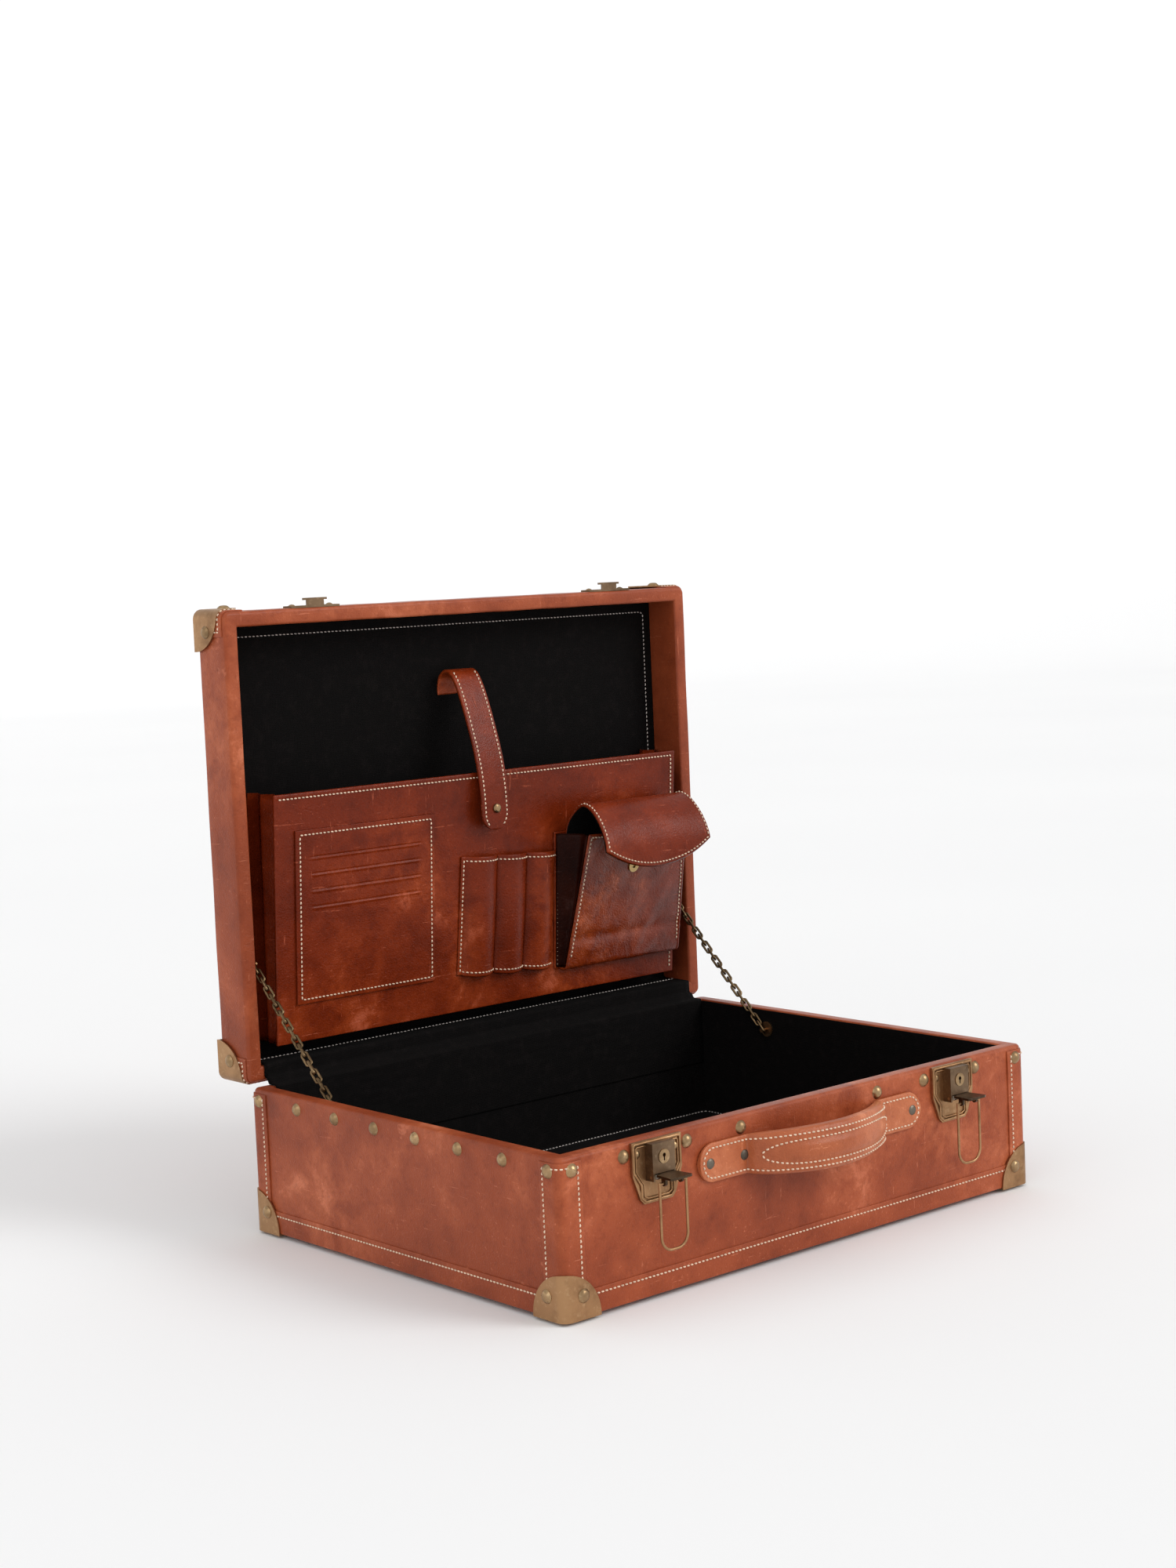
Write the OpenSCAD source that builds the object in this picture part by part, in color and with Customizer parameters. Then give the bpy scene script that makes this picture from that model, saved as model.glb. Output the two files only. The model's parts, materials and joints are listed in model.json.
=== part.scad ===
// Hard-sided leather attache case, shown open: a base box, a lid on a continuous hinge, two drawbolt
// latches with locks, a carry handle, chain stays and a leather organiser in the lid.
// X runs left to right, Y front to back, Z up. The floor is z = 0, and the origin is the middle of the
// floor area that the open case covers.

/* [Case] */
// Outside width of the case
case_w = 440; // [400:5:480]
// Outside depth of the case, front to rear
case_d = 333; // [300:1:380]
// Height of the base from its underside to its rim
base_h = 101; // [90:1:125]
// Height of the lid from its rim to its outer face
lid_h = 35.5; // [34:0.5:45]
// Radius of the four upright edges
corner_r = 5; // [4:0.5:8]
// Thickness of the wooden wall boards
board_t = 8.3; // [6:0.1:11]
// Thickness of the leather cover
leather_t = 1.5; // [1:0.1:2]
// Thickness of the cloth lining
lining_t = 1.2; // [0.8:0.1:1.6]
// Thickness of the base's bottom board
bottom_t = 5; // [4:0.5:7]
// Thickness of the lid's outer panel
lid_panel_t = 2.5; // [2:0.5:4]
// Thickness of the padded floor board
pad_t = 4; // [3:0.5:6]

/* [Trim] */
// Width of an edge patch on each face
patch_w = 17.5; // [14:0.5:22]
// Thickness of an edge patch
patch_t = 1.2; // [0.8:0.1:1.6]
// Distance from the rim to where the edge patches stop
patch_gap = 3; // [2:0.5:6]
// Height of the leather band round the bottom
band_h = 16; // [12:1:24]
// Thickness of that band
band_t = 1; // [0.6:0.1:1.2]
// Radius of a corner guard's lobes
guard_r = 29; // [24:1:34]
// Thickness of a corner guard
guard_t = 1; // [0.8:0.1:1.5]
// Height of a foot below the corner guards
foot_t = 2; // [1:0.5:6]
// Radius of a foot
foot_r = 6; // [4:0.5:8]
// Distance of a foot or guard rivet from the case's edges
guard_rivet_in = 14; // [11:0.5:17]
// Radius of a rim stud's head
stud_r = 4.6; // [3.5:0.1:4.7]
// Height of a rim stud's head
stud_h = 2.8; // [2:0.1:4]
// Distance of the rim studs below the rim
stud_drop = 8.5; // [7:0.5:11]
// Distance of the outermost studs from the case's edges
stud_edge = 9.5; // [8:0.5:11]
// Studs along each side
side_studs = 8; // [5:1:10]
// Radius of a rivet's head
rivet_r = 3.2; // [2.5:0.1:3.6]
// Height of a rivet's head
rivet_h = 1.5; // [1:0.1:2]

/* [Hinge] */
// Radius of the hinge knuckles
knuckle_r = 2; // [2:0.1:3]
// Radius of the hinge pin
hinge_pin_r = 1; // [0.8:0.05:1.2]
// Radial clearance of a pin that turns
pin_clear = 0.05; // [0.02:0.01:0.1]
// Number of knuckles, an odd number
knuckles = 33; // [21:2:41]
// Reach of each hinge leaf
leaf_w = 18; // [12:1:24]
// Thickness of a hinge leaf
leaf_t = 1; // [0.8:0.1:1.2]
// Gap between the closed rims
rim_gap = 0.6; // [0.4:0.1:1.5]

/* [Handle] */
// Distance of the handle's middle from the underside
handle_z = 75; // [60:0.5:78]
// Length of the handle, end to end
handle_len = 211; // [180:1:230]
// Width of the end tabs
tab_w = 25; // [20:1:27]
// Thickness of the end tabs
tab_t = 3.5; // [2.5:0.5:5]
// Straight distance between the two ends of the grip
grip_chord = 116; // [100:2:120]
// Distance that the grip bows out
grip_bow = 22; // [16:1:30]
// Thickness of the grip
grip_t = 12; // [9:1:14]
// Distance of the outer rivets from the handle's ends
handle_rivet_out = 9; // [8:0.5:12]
// Distance of the inner rivets from the handle's ends
handle_rivet_in = 39.5; // [34:0.5:41]

/* [Latch] */
// Distance of each latch from the case's left or right edge
latch_x = 79; // [78:0.5:81]
// Height of the latch plate
plate_h = 40; // [38:1:42]
// Width of the latch plate at its top
plate_w = 42; // [42:1:46]
// Thickness of the latch plate
plate_t = 1.5; // [1:0.1:1.6]
// Distance from the rim to the top of the latch plate
plate_gap = 1; // [0.5:0.5:3]
// Width of the lock housing
lock_w = 19; // [17:0.5:19]
// Height of the lock housing
lock_h = 19; // [18.5:0.5:20]
// Depth of the lock housing
lock_d = 7; // [6:0.5:8]
// Radius of the lock cylinder
lock_r = 4.5; // [3.5:0.1:5.5]
// Radius of the lever pin
lever_pin_r = 1; // [0.8:0.05:1.1]
// Length of the lever from its pin
lever_len = 18.5; // [17:0.5:20]
// Thickness of the lever
lever_t = 1.5; // [1.2:0.1:1.8]
// Radius of the bail wire
wire_r = 0.9; // [0.7:0.05:1]
// Length of the bail below its pivot
bail_len = 43; // [42.5:0.1:43.4]
// Radius of the bail's rounded corners
bail_r = 9; // [8.5:0.1:9.2]

/* [Chain] */
// Distance of the base anchors from the rear of the case
stay_back = 86; // [80:1:100]
// Distance of the base anchors below the rim
stay_drop = 16; // [14:1:22]
// Distance of the lid anchors above the hinge side of the lid
stay_up = 82; // [76:1:86]
// Distance of the lid anchors behind the lid's rim
stay_in = 12; // [9:1:15]
// Distance of the chain from the inner wall
stay_side = 5; // [4.5:0.5:8]
// Links in each chain, an odd number
links = 19; // [17:2:21]
// Links that stay with the base when the chain folds
low_links = 8; // [7:1:9]
// Width of a link
link_w = 6; // [5.8:0.1:6.6]
// Radius of the link wire
link_r = 0.9; // [0.8:0.05:0.95]

/* [Organiser] */
// Distance of the document pocket from the inner side walls
pocket_side = 16; // [12:1:30]
// Height of the pocket's foot above the hinge side of the lid
pocket_low = 22; // [18:1:30]
// Height of the pocket front
pocket_h = 181; // [160:1:195]
// Thickness of the pocket front
pocket_t = 2.2; // [1.6:0.1:3]
// Distance of the pocket's foot behind the lid's rim
pocket_in = 2.5; // [1:0.5:5]
// Distance that the pocket's mouth leans out of the lid
pocket_lean = 10; // [4:1:14]
// Width of the card panel
card_w = 124; // [110:1:128]
// Height of the card panel
card_h = 126; // [110:1:130]
// Thickness of the card panel
card_t = 2.4; // [1.8:0.1:4]
// Length of a card slit
slit_len = 100; // [90:1:104]
// Number of card slits
slits = 4; // [2:1:6]
// Width of one pen loop
pen_w = 29; // [22:1:30]
// Height of a pen loop
pen_h = 91; // [70:1:95]
// Depth of a pen loop
pen_d = 10; // [8:0.5:13]
// Thickness of the pen loops and of the flap pocket
thin_t = 1.5; // [1.2:0.1:2]
// Width of the flap pocket
flap_w = 128; // [110:1:132]
// Height of the flap pocket
flap_h = 110; // [90:1:114]
// Depth of the flap pocket at its mouth
flap_d = 26; // [20:1:30]
// Depth of the flap pocket at its foot
flap_foot_d = 8; // [6:1:12]
// Thickness of the flap and of the strap
flap_t = 2; // [1.6:0.1:3]
// Width of the filing strap
strap_w = 26; // [20:1:30]
// Distance of the strap's root below the lid's inner front wall
strap_drop = 56; // [30:1:80]
// Radius of the snap caps
snap_r = 3.3; // [2.8:0.1:4]
// Clearance between pieces that move past each other
gap = 0.3; // [0.2:0.05:0.5]

/* [Hidden] */
$fn = 48;

tiny = 0.01;
nail_r = 1;                                  // shank of a stud or rivet
wall = leather_t + board_t + lining_t;       // the whole wall
under_z = foot_t + guard_t;                  // underside of the leather
rim_z = under_z + base_h;                    // rim of the base
floor_z = under_z + leather_t + bottom_t;    // top of the bottom board
hinge_y = case_d / 2 + knuckle_r;            // hinge axis
hinge_z = rim_z + rim_gap / 2;
lid_y = hinge_y + rim_gap / 2;               // rim plane of the open lid
lid_z = hinge_z + knuckle_r;                 // hinge side of the open lid
lid_in = lid_h - leather_t - lid_panel_t;    // depth of the lid's panel behind its rim
hinge_len = case_w - 2 * (patch_w + patch_t) - 6;
knuckle_len = hinge_len / knuckles;
inner_x = case_w / 2 - wall;                 // inner face of the side walls

grip_radius = (pow(grip_chord / 2, 2) + pow(grip_bow, 2)) / (2 * grip_bow);
grip_angle = 2 * asin(grip_chord / 2 / grip_radius);
grip_mid = grip_t / 2 + grip_bow;            // reach of the grip's centre line
front_reach = case_d / 2 + grip_mid + grip_t / 2;
back_reach = lid_y + lid_h + guard_t + rivet_h;
mid_y = (back_reach - front_reach) / 2;      // from the case's middle to the origin

latch_z = rim_z - plate_gap - plate_h;       // foot of the latch plate
pin_out = 6.3;                               // lever pin, from the leather
pin_up = plate_h - 1 - lock_h - 3;           // lever pin, from the plate's foot
ear_t = 1.4;
barrel_r = 2.1;
bail_along = 9.5;                            // bail pivot, along the lever from its pin
bail_below = 2.2;                            // bail pivot, below the lever pin
lug_in = 6;
lug_out = 7.9;
bail_x = lock_w / 2 + gap + 0.5 + wire_r;    // leg of the bail, from the latch's middle
lock_up = plate_h - 1 - lock_h / 2;
hook_h = pin_up - bail_along + bail_len - bail_r; // middle of the hook, from the plate's foot
hook_r = bail_r - wire_r - 0.2;

stay_x = inner_x - stay_side;
anchor_pin_r = 1;
link_gap = 0.9;                              // play where two links cross
link_seat = anchor_pin_r + 0.15;             // from the pin's axis to the link's inner end
base_pin = [case_d / 2 - stay_back, rim_z - stay_drop];
lid_pin = [lid_y + stay_in, lid_z + stay_up];
stay_vec = lid_pin - base_pin;
stay_len = norm(stay_vec);
stay_angle = atan2(stay_vec[1], stay_vec[0]);
link_hole = link_w - 4 * link_r;             // clear width inside a link
link_pitch = (stay_len + 2 * link_seat - link_gap) / links;
link_half = (link_pitch + link_gap - link_hole) / 2; // half of a link's straight part
link_start = link_half + link_hole / 2 - link_seat;  // middle of the first link, from the pin

lean = atan((pocket_in + pocket_lean) / pocket_h);
pocket_w = 2 * (inner_x - pocket_side);
card_x = -pocket_w / 2 + 16.5;
card_low = 28;
slit_top = 10;
slit_pitch = 12.5;
slit_w = 0.8;
pen_x = -28.5;
pen_low = 28;
pen_lean = 3;
flap_x = pocket_w / 2 - flap_w;
flap_low = 19;
flap_hinge = flap_low + flap_h + 2.5;        // fold of the flap, along the pocket front
flap_in = 10;                                 // the flap is narrower than its pocket by this, each side
flap_crest = [[1.8, 1], [12.5, 13.5], [17.5, 16.8], [24, 16.5], [33.5, 10], [42, 0]]; // from its fold
flap_knee = [48, -13];                        // where the flap starts to hang
flap_tip = [50, -31];                         // tip of the flap from its fold
strap_sewn = [lid_in - lining_t - gap - flap_t / 2, case_d - wall - strap_drop]; // middle of the sewn end
strap_arch_r = 9;
strap_split = 90;                            // the sewn loop ends at the top of the arch
strap_free = 92;                             // where the free part starts, just past the top
strap_turn = 144;                            // where the arch ends
strap_off = flap_t / 2 + 1.2;                // middle of the strap, out from the pocket front
snap_up = 150;                               // snap and strap end, along the pocket front

// ---------- shared shapes ----------

module framed() {
  translate([0, -mid_y, 0]) children();
}

// Outline of the case seen from above, moved in by inset, with round corners
module outline(inset) {
  r = corner_r - inset;
  w = case_w - 2 * inset;
  d = case_d - 2 * inset;
  square([w - 2 * r, d], center = true);
  square([w, d - 2 * r], center = true);
  for (sx = [-1, 1], sy = [-1, 1])
    translate([sx * (w / 2 - r), sy * (d / 2 - r)]) circle(r);
}

// Outline of the inside, moved in by inset, with square corners
module inside(inset) {
  square([case_w - 2 * inset, case_d - 2 * inset], center = true);
}

// An extruded layer of the base between two heights
module base_layer(z0, z1) {
  translate([0, 0, z0]) linear_extrude(z1 - z0) children();
}

// The same for the open lid, between two distances behind its rim
module lid_layer(d0, d1) {
  translate([0, lid_y + d1, lid_z + case_d / 2]) rotate([90, 0, 0]) linear_extrude(d1 - d0) children();
}

// Places on the open lid: x, distance behind the rim, height above its hinge side
module on_lid(p) {
  translate([p[0], lid_y + p[1], lid_z + p[2]]) children();
}

module corner_squares() {
  for (sx = [-1, 1], sy = [-1, 1])
    translate([sx * case_w / 2, sy * case_d / 2]) square(2 * patch_w, center = true);
}

// A ring of leather or metal that lies on the outside of the case
module skin_ring(inner, outer) {
  difference() {
    outline(-outer);
    outline(-inner);
  }
}

// A domed head on +Z with a nail below it
module dome(r, h, nail = 5) {
  big = (r * r + h * h) / (2 * h);
  intersection() {
    translate([0, 0, h - big]) sphere(big);
    translate([-r, -r, 0]) cube([2 * r, 2 * r, h]);
  }
  if (nail > 0) translate([0, 0, -nail]) cylinder(h = nail + tiny, r = nail_r);
}

// Turn +Z to face outwards on one side of the case, at x or y along it and z up, out from the leather
module on_front(x, z, out = 0) {
  translate([x, -case_d / 2 - out, z]) rotate([90, 0, 0]) children();
}
module on_rear(x, z, out = 0) {
  translate([x, case_d / 2 + out, z]) rotate([-90, 0, 0]) children();
}
module on_side(side, y, z, out = 0) {
  translate([side * (case_w / 2 + out), y, z]) rotate([0, side * 90, 0]) children();
}

// ---------- base ----------

module wall_ring() {
  difference() {
    outline(leather_t);
    inside(leather_t + board_t);
  }
}

// One of the four boards of a wall ring: sx and sy say which side it is on
module wall_board(sx, sy) {
  long = case_w;
  side_d = case_d - 2 * (leather_t + board_t);
  intersection() {
    wall_ring();
    if (sy != 0) translate([0, sy * case_d / 2]) square([long, 2 * (leather_t + board_t)], center = true);
    else translate([sx * case_w / 2, 0]) square([case_w / 2, side_d], center = true);
  }
}

module base_bottom_panel() color("burlywood")
  base_layer(under_z + leather_t, floor_z) outline(leather_t);

module base_board(sx, sy) color("tan")
  base_layer(floor_z, rim_z - leather_t) wall_board(sx, sy);

module base_leather_cover() color([0.62, 0.3, 0.18]) difference() {
  base_layer(under_z, rim_z) outline(0);
  base_layer(under_z + leather_t, rim_z - leather_t) outline(leather_t);
  base_layer(floor_z, rim_z + 1) inside(wall);
}

module base_lining() color([0.08, 0.07, 0.07])
  base_layer(floor_z, rim_z - leather_t) difference() {
    inside(leather_t + board_t);
    inside(wall);
  }

module base_floor_pad() color([0.1, 0.09, 0.09])
  base_layer(floor_z, floor_z + pad_t) inside(wall + gap);

module base_bottom_band() color([0.58, 0.27, 0.16])
  base_layer(under_z, under_z + band_h) difference() {
    skin_ring(0, band_t);
    corner_squares();
  }

module base_edge_patches() color([0.66, 0.33, 0.2])
  base_layer(under_z, rim_z - patch_gap) intersection() {
    skin_ring(0, patch_t);
    corner_squares();
  }

// One guard with its corner at the origin, reaching along +X, +Y and +Z: three quarter-round lobes
module corner_guard() {
  intersection() {
    difference() {
      translate([-guard_t, -guard_t, -guard_t]) linear_extrude(guard_r + 2 * guard_t)
        round_corner(corner_r + patch_t + guard_t);
      linear_extrude(3 * guard_r) round_corner(corner_r + patch_t);
    }
    sphere(guard_r);
  }
}

// A large square from the origin into +X and +Y with its corner at the origin rounded
module round_corner(r) {
  size = 2 * guard_r;
  translate([r, 0]) square(size);
  translate([0, r]) square(size);
  translate([r, r]) circle(r);
}

// Turn a guard's +X and +Y towards the middle of the case
module towards_middle(sx, sy) {
  mirror([sx > 0 ? 1 : 0, 0, 0]) mirror([0, sy > 0 ? 1 : 0, 0]) children();
}

module base_corner_guards() color([0.55, 0.45, 0.28]) for (sx = [-1, 1], sy = [-1, 1])
  translate([sx * (case_w / 2 + patch_t), sy * (case_d / 2 + patch_t), under_z])
    towards_middle(sx, sy) corner_guard();

module base_guard_rivets() color([0.6, 0.5, 0.32]) for (s = [-1, 1]) {
  x = s * (case_w / 2 - guard_rivet_in);
  y = s * (case_d / 2 - guard_rivet_in);
  out = patch_t + guard_t;
  on_front(x, under_z + guard_rivet_in, out) dome(rivet_r, rivet_h);
  on_rear(x, under_z + guard_rivet_in, out) dome(rivet_r, rivet_h);
  for (side = [-1, 1]) on_side(side, y, under_z + guard_rivet_in, out) dome(rivet_r, rivet_h);
}

module base_rim_studs() color([0.6, 0.5, 0.32]) {
  z = rim_z - stud_drop;
  edge = case_w / 2 - stud_edge;
  near = latch_x + plate_w / 2 + stud_r + 2.2;
  for (s = [-1, 1]) {
    on_front(s * edge, z, patch_t) dome(stud_r, stud_h);
    on_front(s * (case_w / 2 - latch_x + plate_w / 2 + stud_r + 0.5), z) dome(stud_r, stud_h);
    on_front(s * (case_w / 2 - near), z) dome(stud_r, stud_h);
    on_front(s * (case_w / 2 - near - 48), z) dome(stud_r, stud_h);
  }
  run = case_d - 2 * stud_edge;
  for (side = [-1, 1], i = [0 : side_studs - 1])
    on_side(side, -run / 2 + i * run / (side_studs - 1), z, i % (side_studs - 1) == 0 ? patch_t : 0)
      dome(stud_r, stud_h);
}

module feet() color([0.5, 0.42, 0.27]) for (sx = [-1, 1], sy = [-1, 1])
  translate([sx * (case_w / 2 - guard_rivet_in), sy * (case_d / 2 - guard_rivet_in), 0])
    cylinder(h = foot_t, r = foot_r);

// ---------- handle ----------

module handle_grip() color([0.68, 0.34, 0.22]) {
  tab_r = tab_w / 2;
  tab_from = grip_chord / 2 - grip_t * 0.6;
  tab_to = handle_len / 2 - tab_r;
  flat = tab_w + 1 - grip_t;
  translate([0, -case_d / 2, under_z + handle_z]) {
    for (s = [-1, 1]) rotate([90, 0, 0]) linear_extrude(tab_t) {
      translate([s * tab_to, 0]) circle(tab_r);
      translate([s * (tab_from + tab_to) / 2, 0]) square([tab_to - tab_from, tab_w], center = true);
    }
    translate([0, grip_radius - grip_mid, 0]) rotate([0, 0, -90 - grip_angle / 2])
      rotate_extrude(angle = grip_angle) translate([grip_radius, 0]) {
        square([grip_t, flat], center = true);
        for (s = [-1, 1]) translate([0, s * flat / 2]) circle(grip_t / 2);
      }
  }
}

module handle_rivets() color([0.5, 0.46, 0.38])
  for (s = [-1, 1], in = [handle_rivet_out, handle_rivet_in])
    on_front(s * (handle_len / 2 - in), under_z + handle_z, tab_t) dome(rivet_r, rivet_h, tab_t + 4);

// ---------- latches ----------

// Move to one latch: +X across, -Y outwards, +Z up, from the foot of the plate at the leather
module at_latch(side) {
  translate([side * (case_w / 2 - latch_x), -case_d / 2, latch_z]) children();
}

// An upright sheet of the latch between two distances out from the leather
module latch_sheet(out0, out1) {
  translate([0, -out0, 0]) rotate([90, 0, 0]) linear_extrude(out1 - out0) children();
}

// Outline of the latch plate: upright sides that taper in below the middle
module plate_outline(inset) {
  top = plate_w / 2 - inset;
  foot = plate_w / 2 - 6 - inset;
  foot_z = inset;
  polygon([[-top, plate_h - inset], [-top, plate_h * 0.47], [-foot, foot_z + 3], [3 - foot, foot_z],
    [foot - 3, foot_z], [foot, foot_z + 3], [top, plate_h * 0.47], [top, plate_h - inset]]);
}

module latch_plates() color([0.55, 0.46, 0.3]) for (side = [-1, 1]) at_latch(side) {
  latch_sheet(0, plate_t) plate_outline(0);
  latch_sheet(0, plate_t + 0.7) difference() {
    plate_outline(0);
    plate_outline(1.6);
  }
}

module lock_housings() color([0.42, 0.36, 0.28]) for (side = [-1, 1]) at_latch(side) difference() {
  union() {
    latch_sheet(plate_t, plate_t + lock_d)
      translate([-lock_w / 2, plate_h - 1.6 - lock_h]) square([lock_w, lock_h]);
    for (s = [-1, 1]) latch_sheet(plate_t, pin_out + 2.4)
      translate([s * (lock_w - ear_t) / 2 - ear_t / 2, pin_up - 2.4]) square([ear_t, 5]);
  }
  latch_sheet(plate_t + 1, plate_t + lock_d + 1) translate([0, lock_up]) circle(lock_r + pin_clear);
  translate([0, -pin_out, pin_up]) rotate([0, 90, 0])
    cylinder(h = lock_w + 2, r = lever_pin_r, center = true);
}

module lock_cylinder(side) color([0.85, 0.7, 0.42]) at_latch(side) difference() {
  latch_sheet(plate_t + 1, plate_t + lock_d + 0.5) translate([0, lock_up]) circle(lock_r);
  latch_sheet(plate_t + 3, plate_t + lock_d + 2) {
    translate([0, lock_up + 0.8]) circle(1.3);
    translate([-0.5, lock_up - 2.8]) square([1, 3.2]);
  }
}

module latch_rivets() color([0.5, 0.46, 0.38]) for (side = [-1, 1]) at_latch(side)
  latch_rivet_places() rotate([90, 0, 0]) dome(rivet_r - 0.6, rivet_h - 0.3);

module latch_rivet_places() {
  for (s = [-1, 1]) translate([s * (plate_w / 2 - 4.7), -plate_t, plate_h - 8]) children();
}

module lever_pins() color([0.7, 0.62, 0.45]) for (side = [-1, 1]) at_latch(side)
  translate([0, -pin_out, pin_up]) rotate([0, 90, 0]) cylinder(h = lock_w, r = lever_pin_r, center = true);

module lever_springs() color([0.8, 0.75, 0.6]) for (side = [-1, 1]) at_latch(side)
  translate([-lug_out, -pin_out, pin_up]) rotate([0, 90, 0]) for (i = [0 : 3])
    translate([0, 0, 0.5 + i * 0.85]) rotate_extrude() translate([1.6, 0]) circle(0.4);

module latch_lever(side) color([0.35, 0.3, 0.24]) at_latch(side) translate([0, -pin_out, pin_up]) {
  notch = 3.6;
  tip = lock_w / 2 - 0.3;
  difference() {
    union() {
      translate([notch - lug_out, 0, 0]) rotate([0, 90, 0])
        cylinder(h = 2 * lug_out - notch, r = barrel_r);
      translate([0, 0, barrel_r - lever_t]) mirror([0, 1, 0]) linear_extrude(lever_t)
        polygon([[notch - lug_out, 0], [lug_out, 0], [lug_out, 5], [tip, lever_len - 1],
          [tip - 2, lever_len], [2 - tip, lever_len], [-tip, lever_len - 1], [-lug_out, 5],
          [-lug_out, notch], [notch - lug_out, notch]]);
      for (s = [-1, 1]) translate([s * (lug_in + lug_out) / 2, -bail_along, 0]) {
        translate([0, 0, -bail_below]) rotate([0, 90, 0])
          cylinder(h = lug_out - lug_in, r = 1.9, center = true);
        translate([0, 0, (barrel_r - bail_below) / 2])
          cube([lug_out - lug_in, 3.8, barrel_r + bail_below - 1], center = true);
      }
    }
    translate([-lug_out - 1, 0, 0]) rotate([0, 90, 0])
      cylinder(h = 2 * lug_out + 2, r = lever_pin_r + pin_clear);
    translate([-lug_out - 1, -bail_along, -bail_below]) rotate([0, 90, 0])
      cylinder(h = 2 * lug_out + 2, r = wire_r + pin_clear);
  }
}

// A wire loop: two inward ends in the lever's lugs, two legs, and a round-cornered foot
module wire_bail(side) color([0.75, 0.66, 0.45]) at_latch(side)
  translate([0, -pin_out - bail_along, pin_up - bail_below]) {
    leg = bail_len - bail_r;
    for (s = [-1, 1]) {
      translate([s * lug_in, 0, 0]) rotate([0, s * 90, 0]) cylinder(h = bail_x - lug_in, r = wire_r);
      translate([s * bail_x, 0, 0]) sphere(wire_r);
      translate([s * bail_x, 0, -leg]) cylinder(h = leg, r = wire_r);
      translate([s * (bail_x - bail_r), 0, -leg]) rotate([90, 0, 0]) mirror([s < 0 ? 1 : 0, 0, 0])
        rotate([0, 0, -90]) rotate_extrude(angle = 90) translate([bail_r, 0]) circle(wire_r);
    }
    translate([bail_r - bail_x, 0, -bail_len]) rotate([0, 90, 0])
      cylinder(h = 2 * (bail_x - bail_r), r = wire_r);
  }

// ---------- hinge ----------

// Leaf and knuckles along the hinge axis: the leaf hangs from the axis and lies against y = -knuckle_r
module hinge_leaf(first, tilt) {
  rotate([tilt, 0, 0]) difference() {
    union() {
      translate([-hinge_len / 2, -knuckle_r, -leaf_w])
        cube([hinge_len, leaf_t, leaf_w - knuckle_r - gap]);
      for (i = [first : 2 : knuckles - 1]) translate([-hinge_len / 2 + i * knuckle_len + 0.1, 0, 0]) {
        rotate([0, 90, 0]) cylinder(h = knuckle_len - 0.2, r = knuckle_r);
        translate([0, -knuckle_r, -knuckle_r - gap - tiny])
          cube([knuckle_len - 0.2, leaf_t, knuckle_r + gap + tiny]);
      }
    }
    translate([-hinge_len / 2 - 1, 0, 0]) rotate([0, 90, 0])
      cylinder(h = hinge_len + 2, r = hinge_pin_r + pin_clear);
  }
}

module hinge_base_leaf() color([0.6, 0.5, 0.32])
  translate([0, hinge_y, hinge_z]) hinge_leaf(0, 0);

module hinge_lid_leaf() color([0.6, 0.5, 0.32])
  translate([0, hinge_y, hinge_z]) mirror([0, 0, 1]) hinge_leaf(1, 90);

module hinge_pin() color([0.75, 0.7, 0.55]) translate([-hinge_len / 2, hinge_y, hinge_z])
  rotate([0, 90, 0]) {
    cylinder(h = hinge_len, r = hinge_pin_r);
    translate([0, 0, 0.1 - 0.8]) cylinder(h = 0.8, r = knuckle_r - 0.4);
    translate([0, 0, hinge_len - 0.1]) cylinder(h = 0.8, r = knuckle_r - 0.4);
  }

// ---------- chain stays ----------

// Plate on the side wall with a headed pin that holds the chain's last link
module chain_anchor(side, at) {
  translate([side * inner_x, at[0], at[1]]) rotate([0, -side * 90, 0]) {
    cylinder(h = 1.5, r = 6);
    cylinder(h = stay_side + link_r + gap + 0.2, r = anchor_pin_r);
    translate([0, 0, stay_side + link_r + gap]) cylinder(h = 1, r = anchor_pin_r + 1);
  }
}

module base_chain_anchors() color([0.6, 0.5, 0.32]) for (side = [-1, 1]) chain_anchor(side, base_pin);
module lid_chain_anchors() color([0.6, 0.5, 0.32]) for (side = [-1, 1]) chain_anchor(side, lid_pin);

// One oval link of square wire with its length along +X, flat in the XY plane
module link() linear_extrude(2 * link_r, center = true) difference() {
  stadium(link_half, link_w / 2);
  stadium(link_half, link_w / 2 - 2 * link_r);
}

// Flat shape with round ends, straight for half_run each way along X
module stadium(half_run, r) {
  square([2 * half_run, 2 * r], center = true);
  for (s = [-1, 1]) translate([s * half_run, 0]) circle(r);
}

// Links first to last of one chain, counted from the base pin along the taut line
module chain_part(side, first, last) color([0.62, 0.53, 0.35])
  translate([side * stay_x, base_pin[0], base_pin[1]]) rotate([stay_angle, 0, 0]) rotate([0, 0, 90])
    for (i = [first : last]) translate([link_start + i * link_pitch, 0, 0])
      rotate([i % 2 == 0 ? 90 : 0, 0, 0]) link();

// ---------- lid ----------

module lid_panel() color("burlywood")
  lid_layer(lid_in, lid_h - leather_t) outline(leather_t);

module lid_board(sx, sy) color("tan")
  lid_layer(leather_t, lid_in) wall_board(sx, sy);

module lid_leather_cover() color([0.62, 0.3, 0.18]) {
  difference() {
    lid_layer(0, lid_h) outline(0);
    lid_layer(leather_t, lid_h - leather_t) outline(leather_t);
    lid_layer(-1, lid_in) inside(wall);
  }
  lid_layer(leather_t, lid_in) difference() {
    inside(leather_t + board_t);
    inside(wall);
  }
}

module lid_lining() color([0.08, 0.07, 0.07])
  lid_layer(lid_in - lining_t, lid_in) inside(wall);

module lid_edge_patches() color([0.66, 0.33, 0.2])
  lid_layer(patch_gap, lid_h) intersection() {
    skin_ring(0, patch_t);
    corner_squares();
  }

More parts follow.
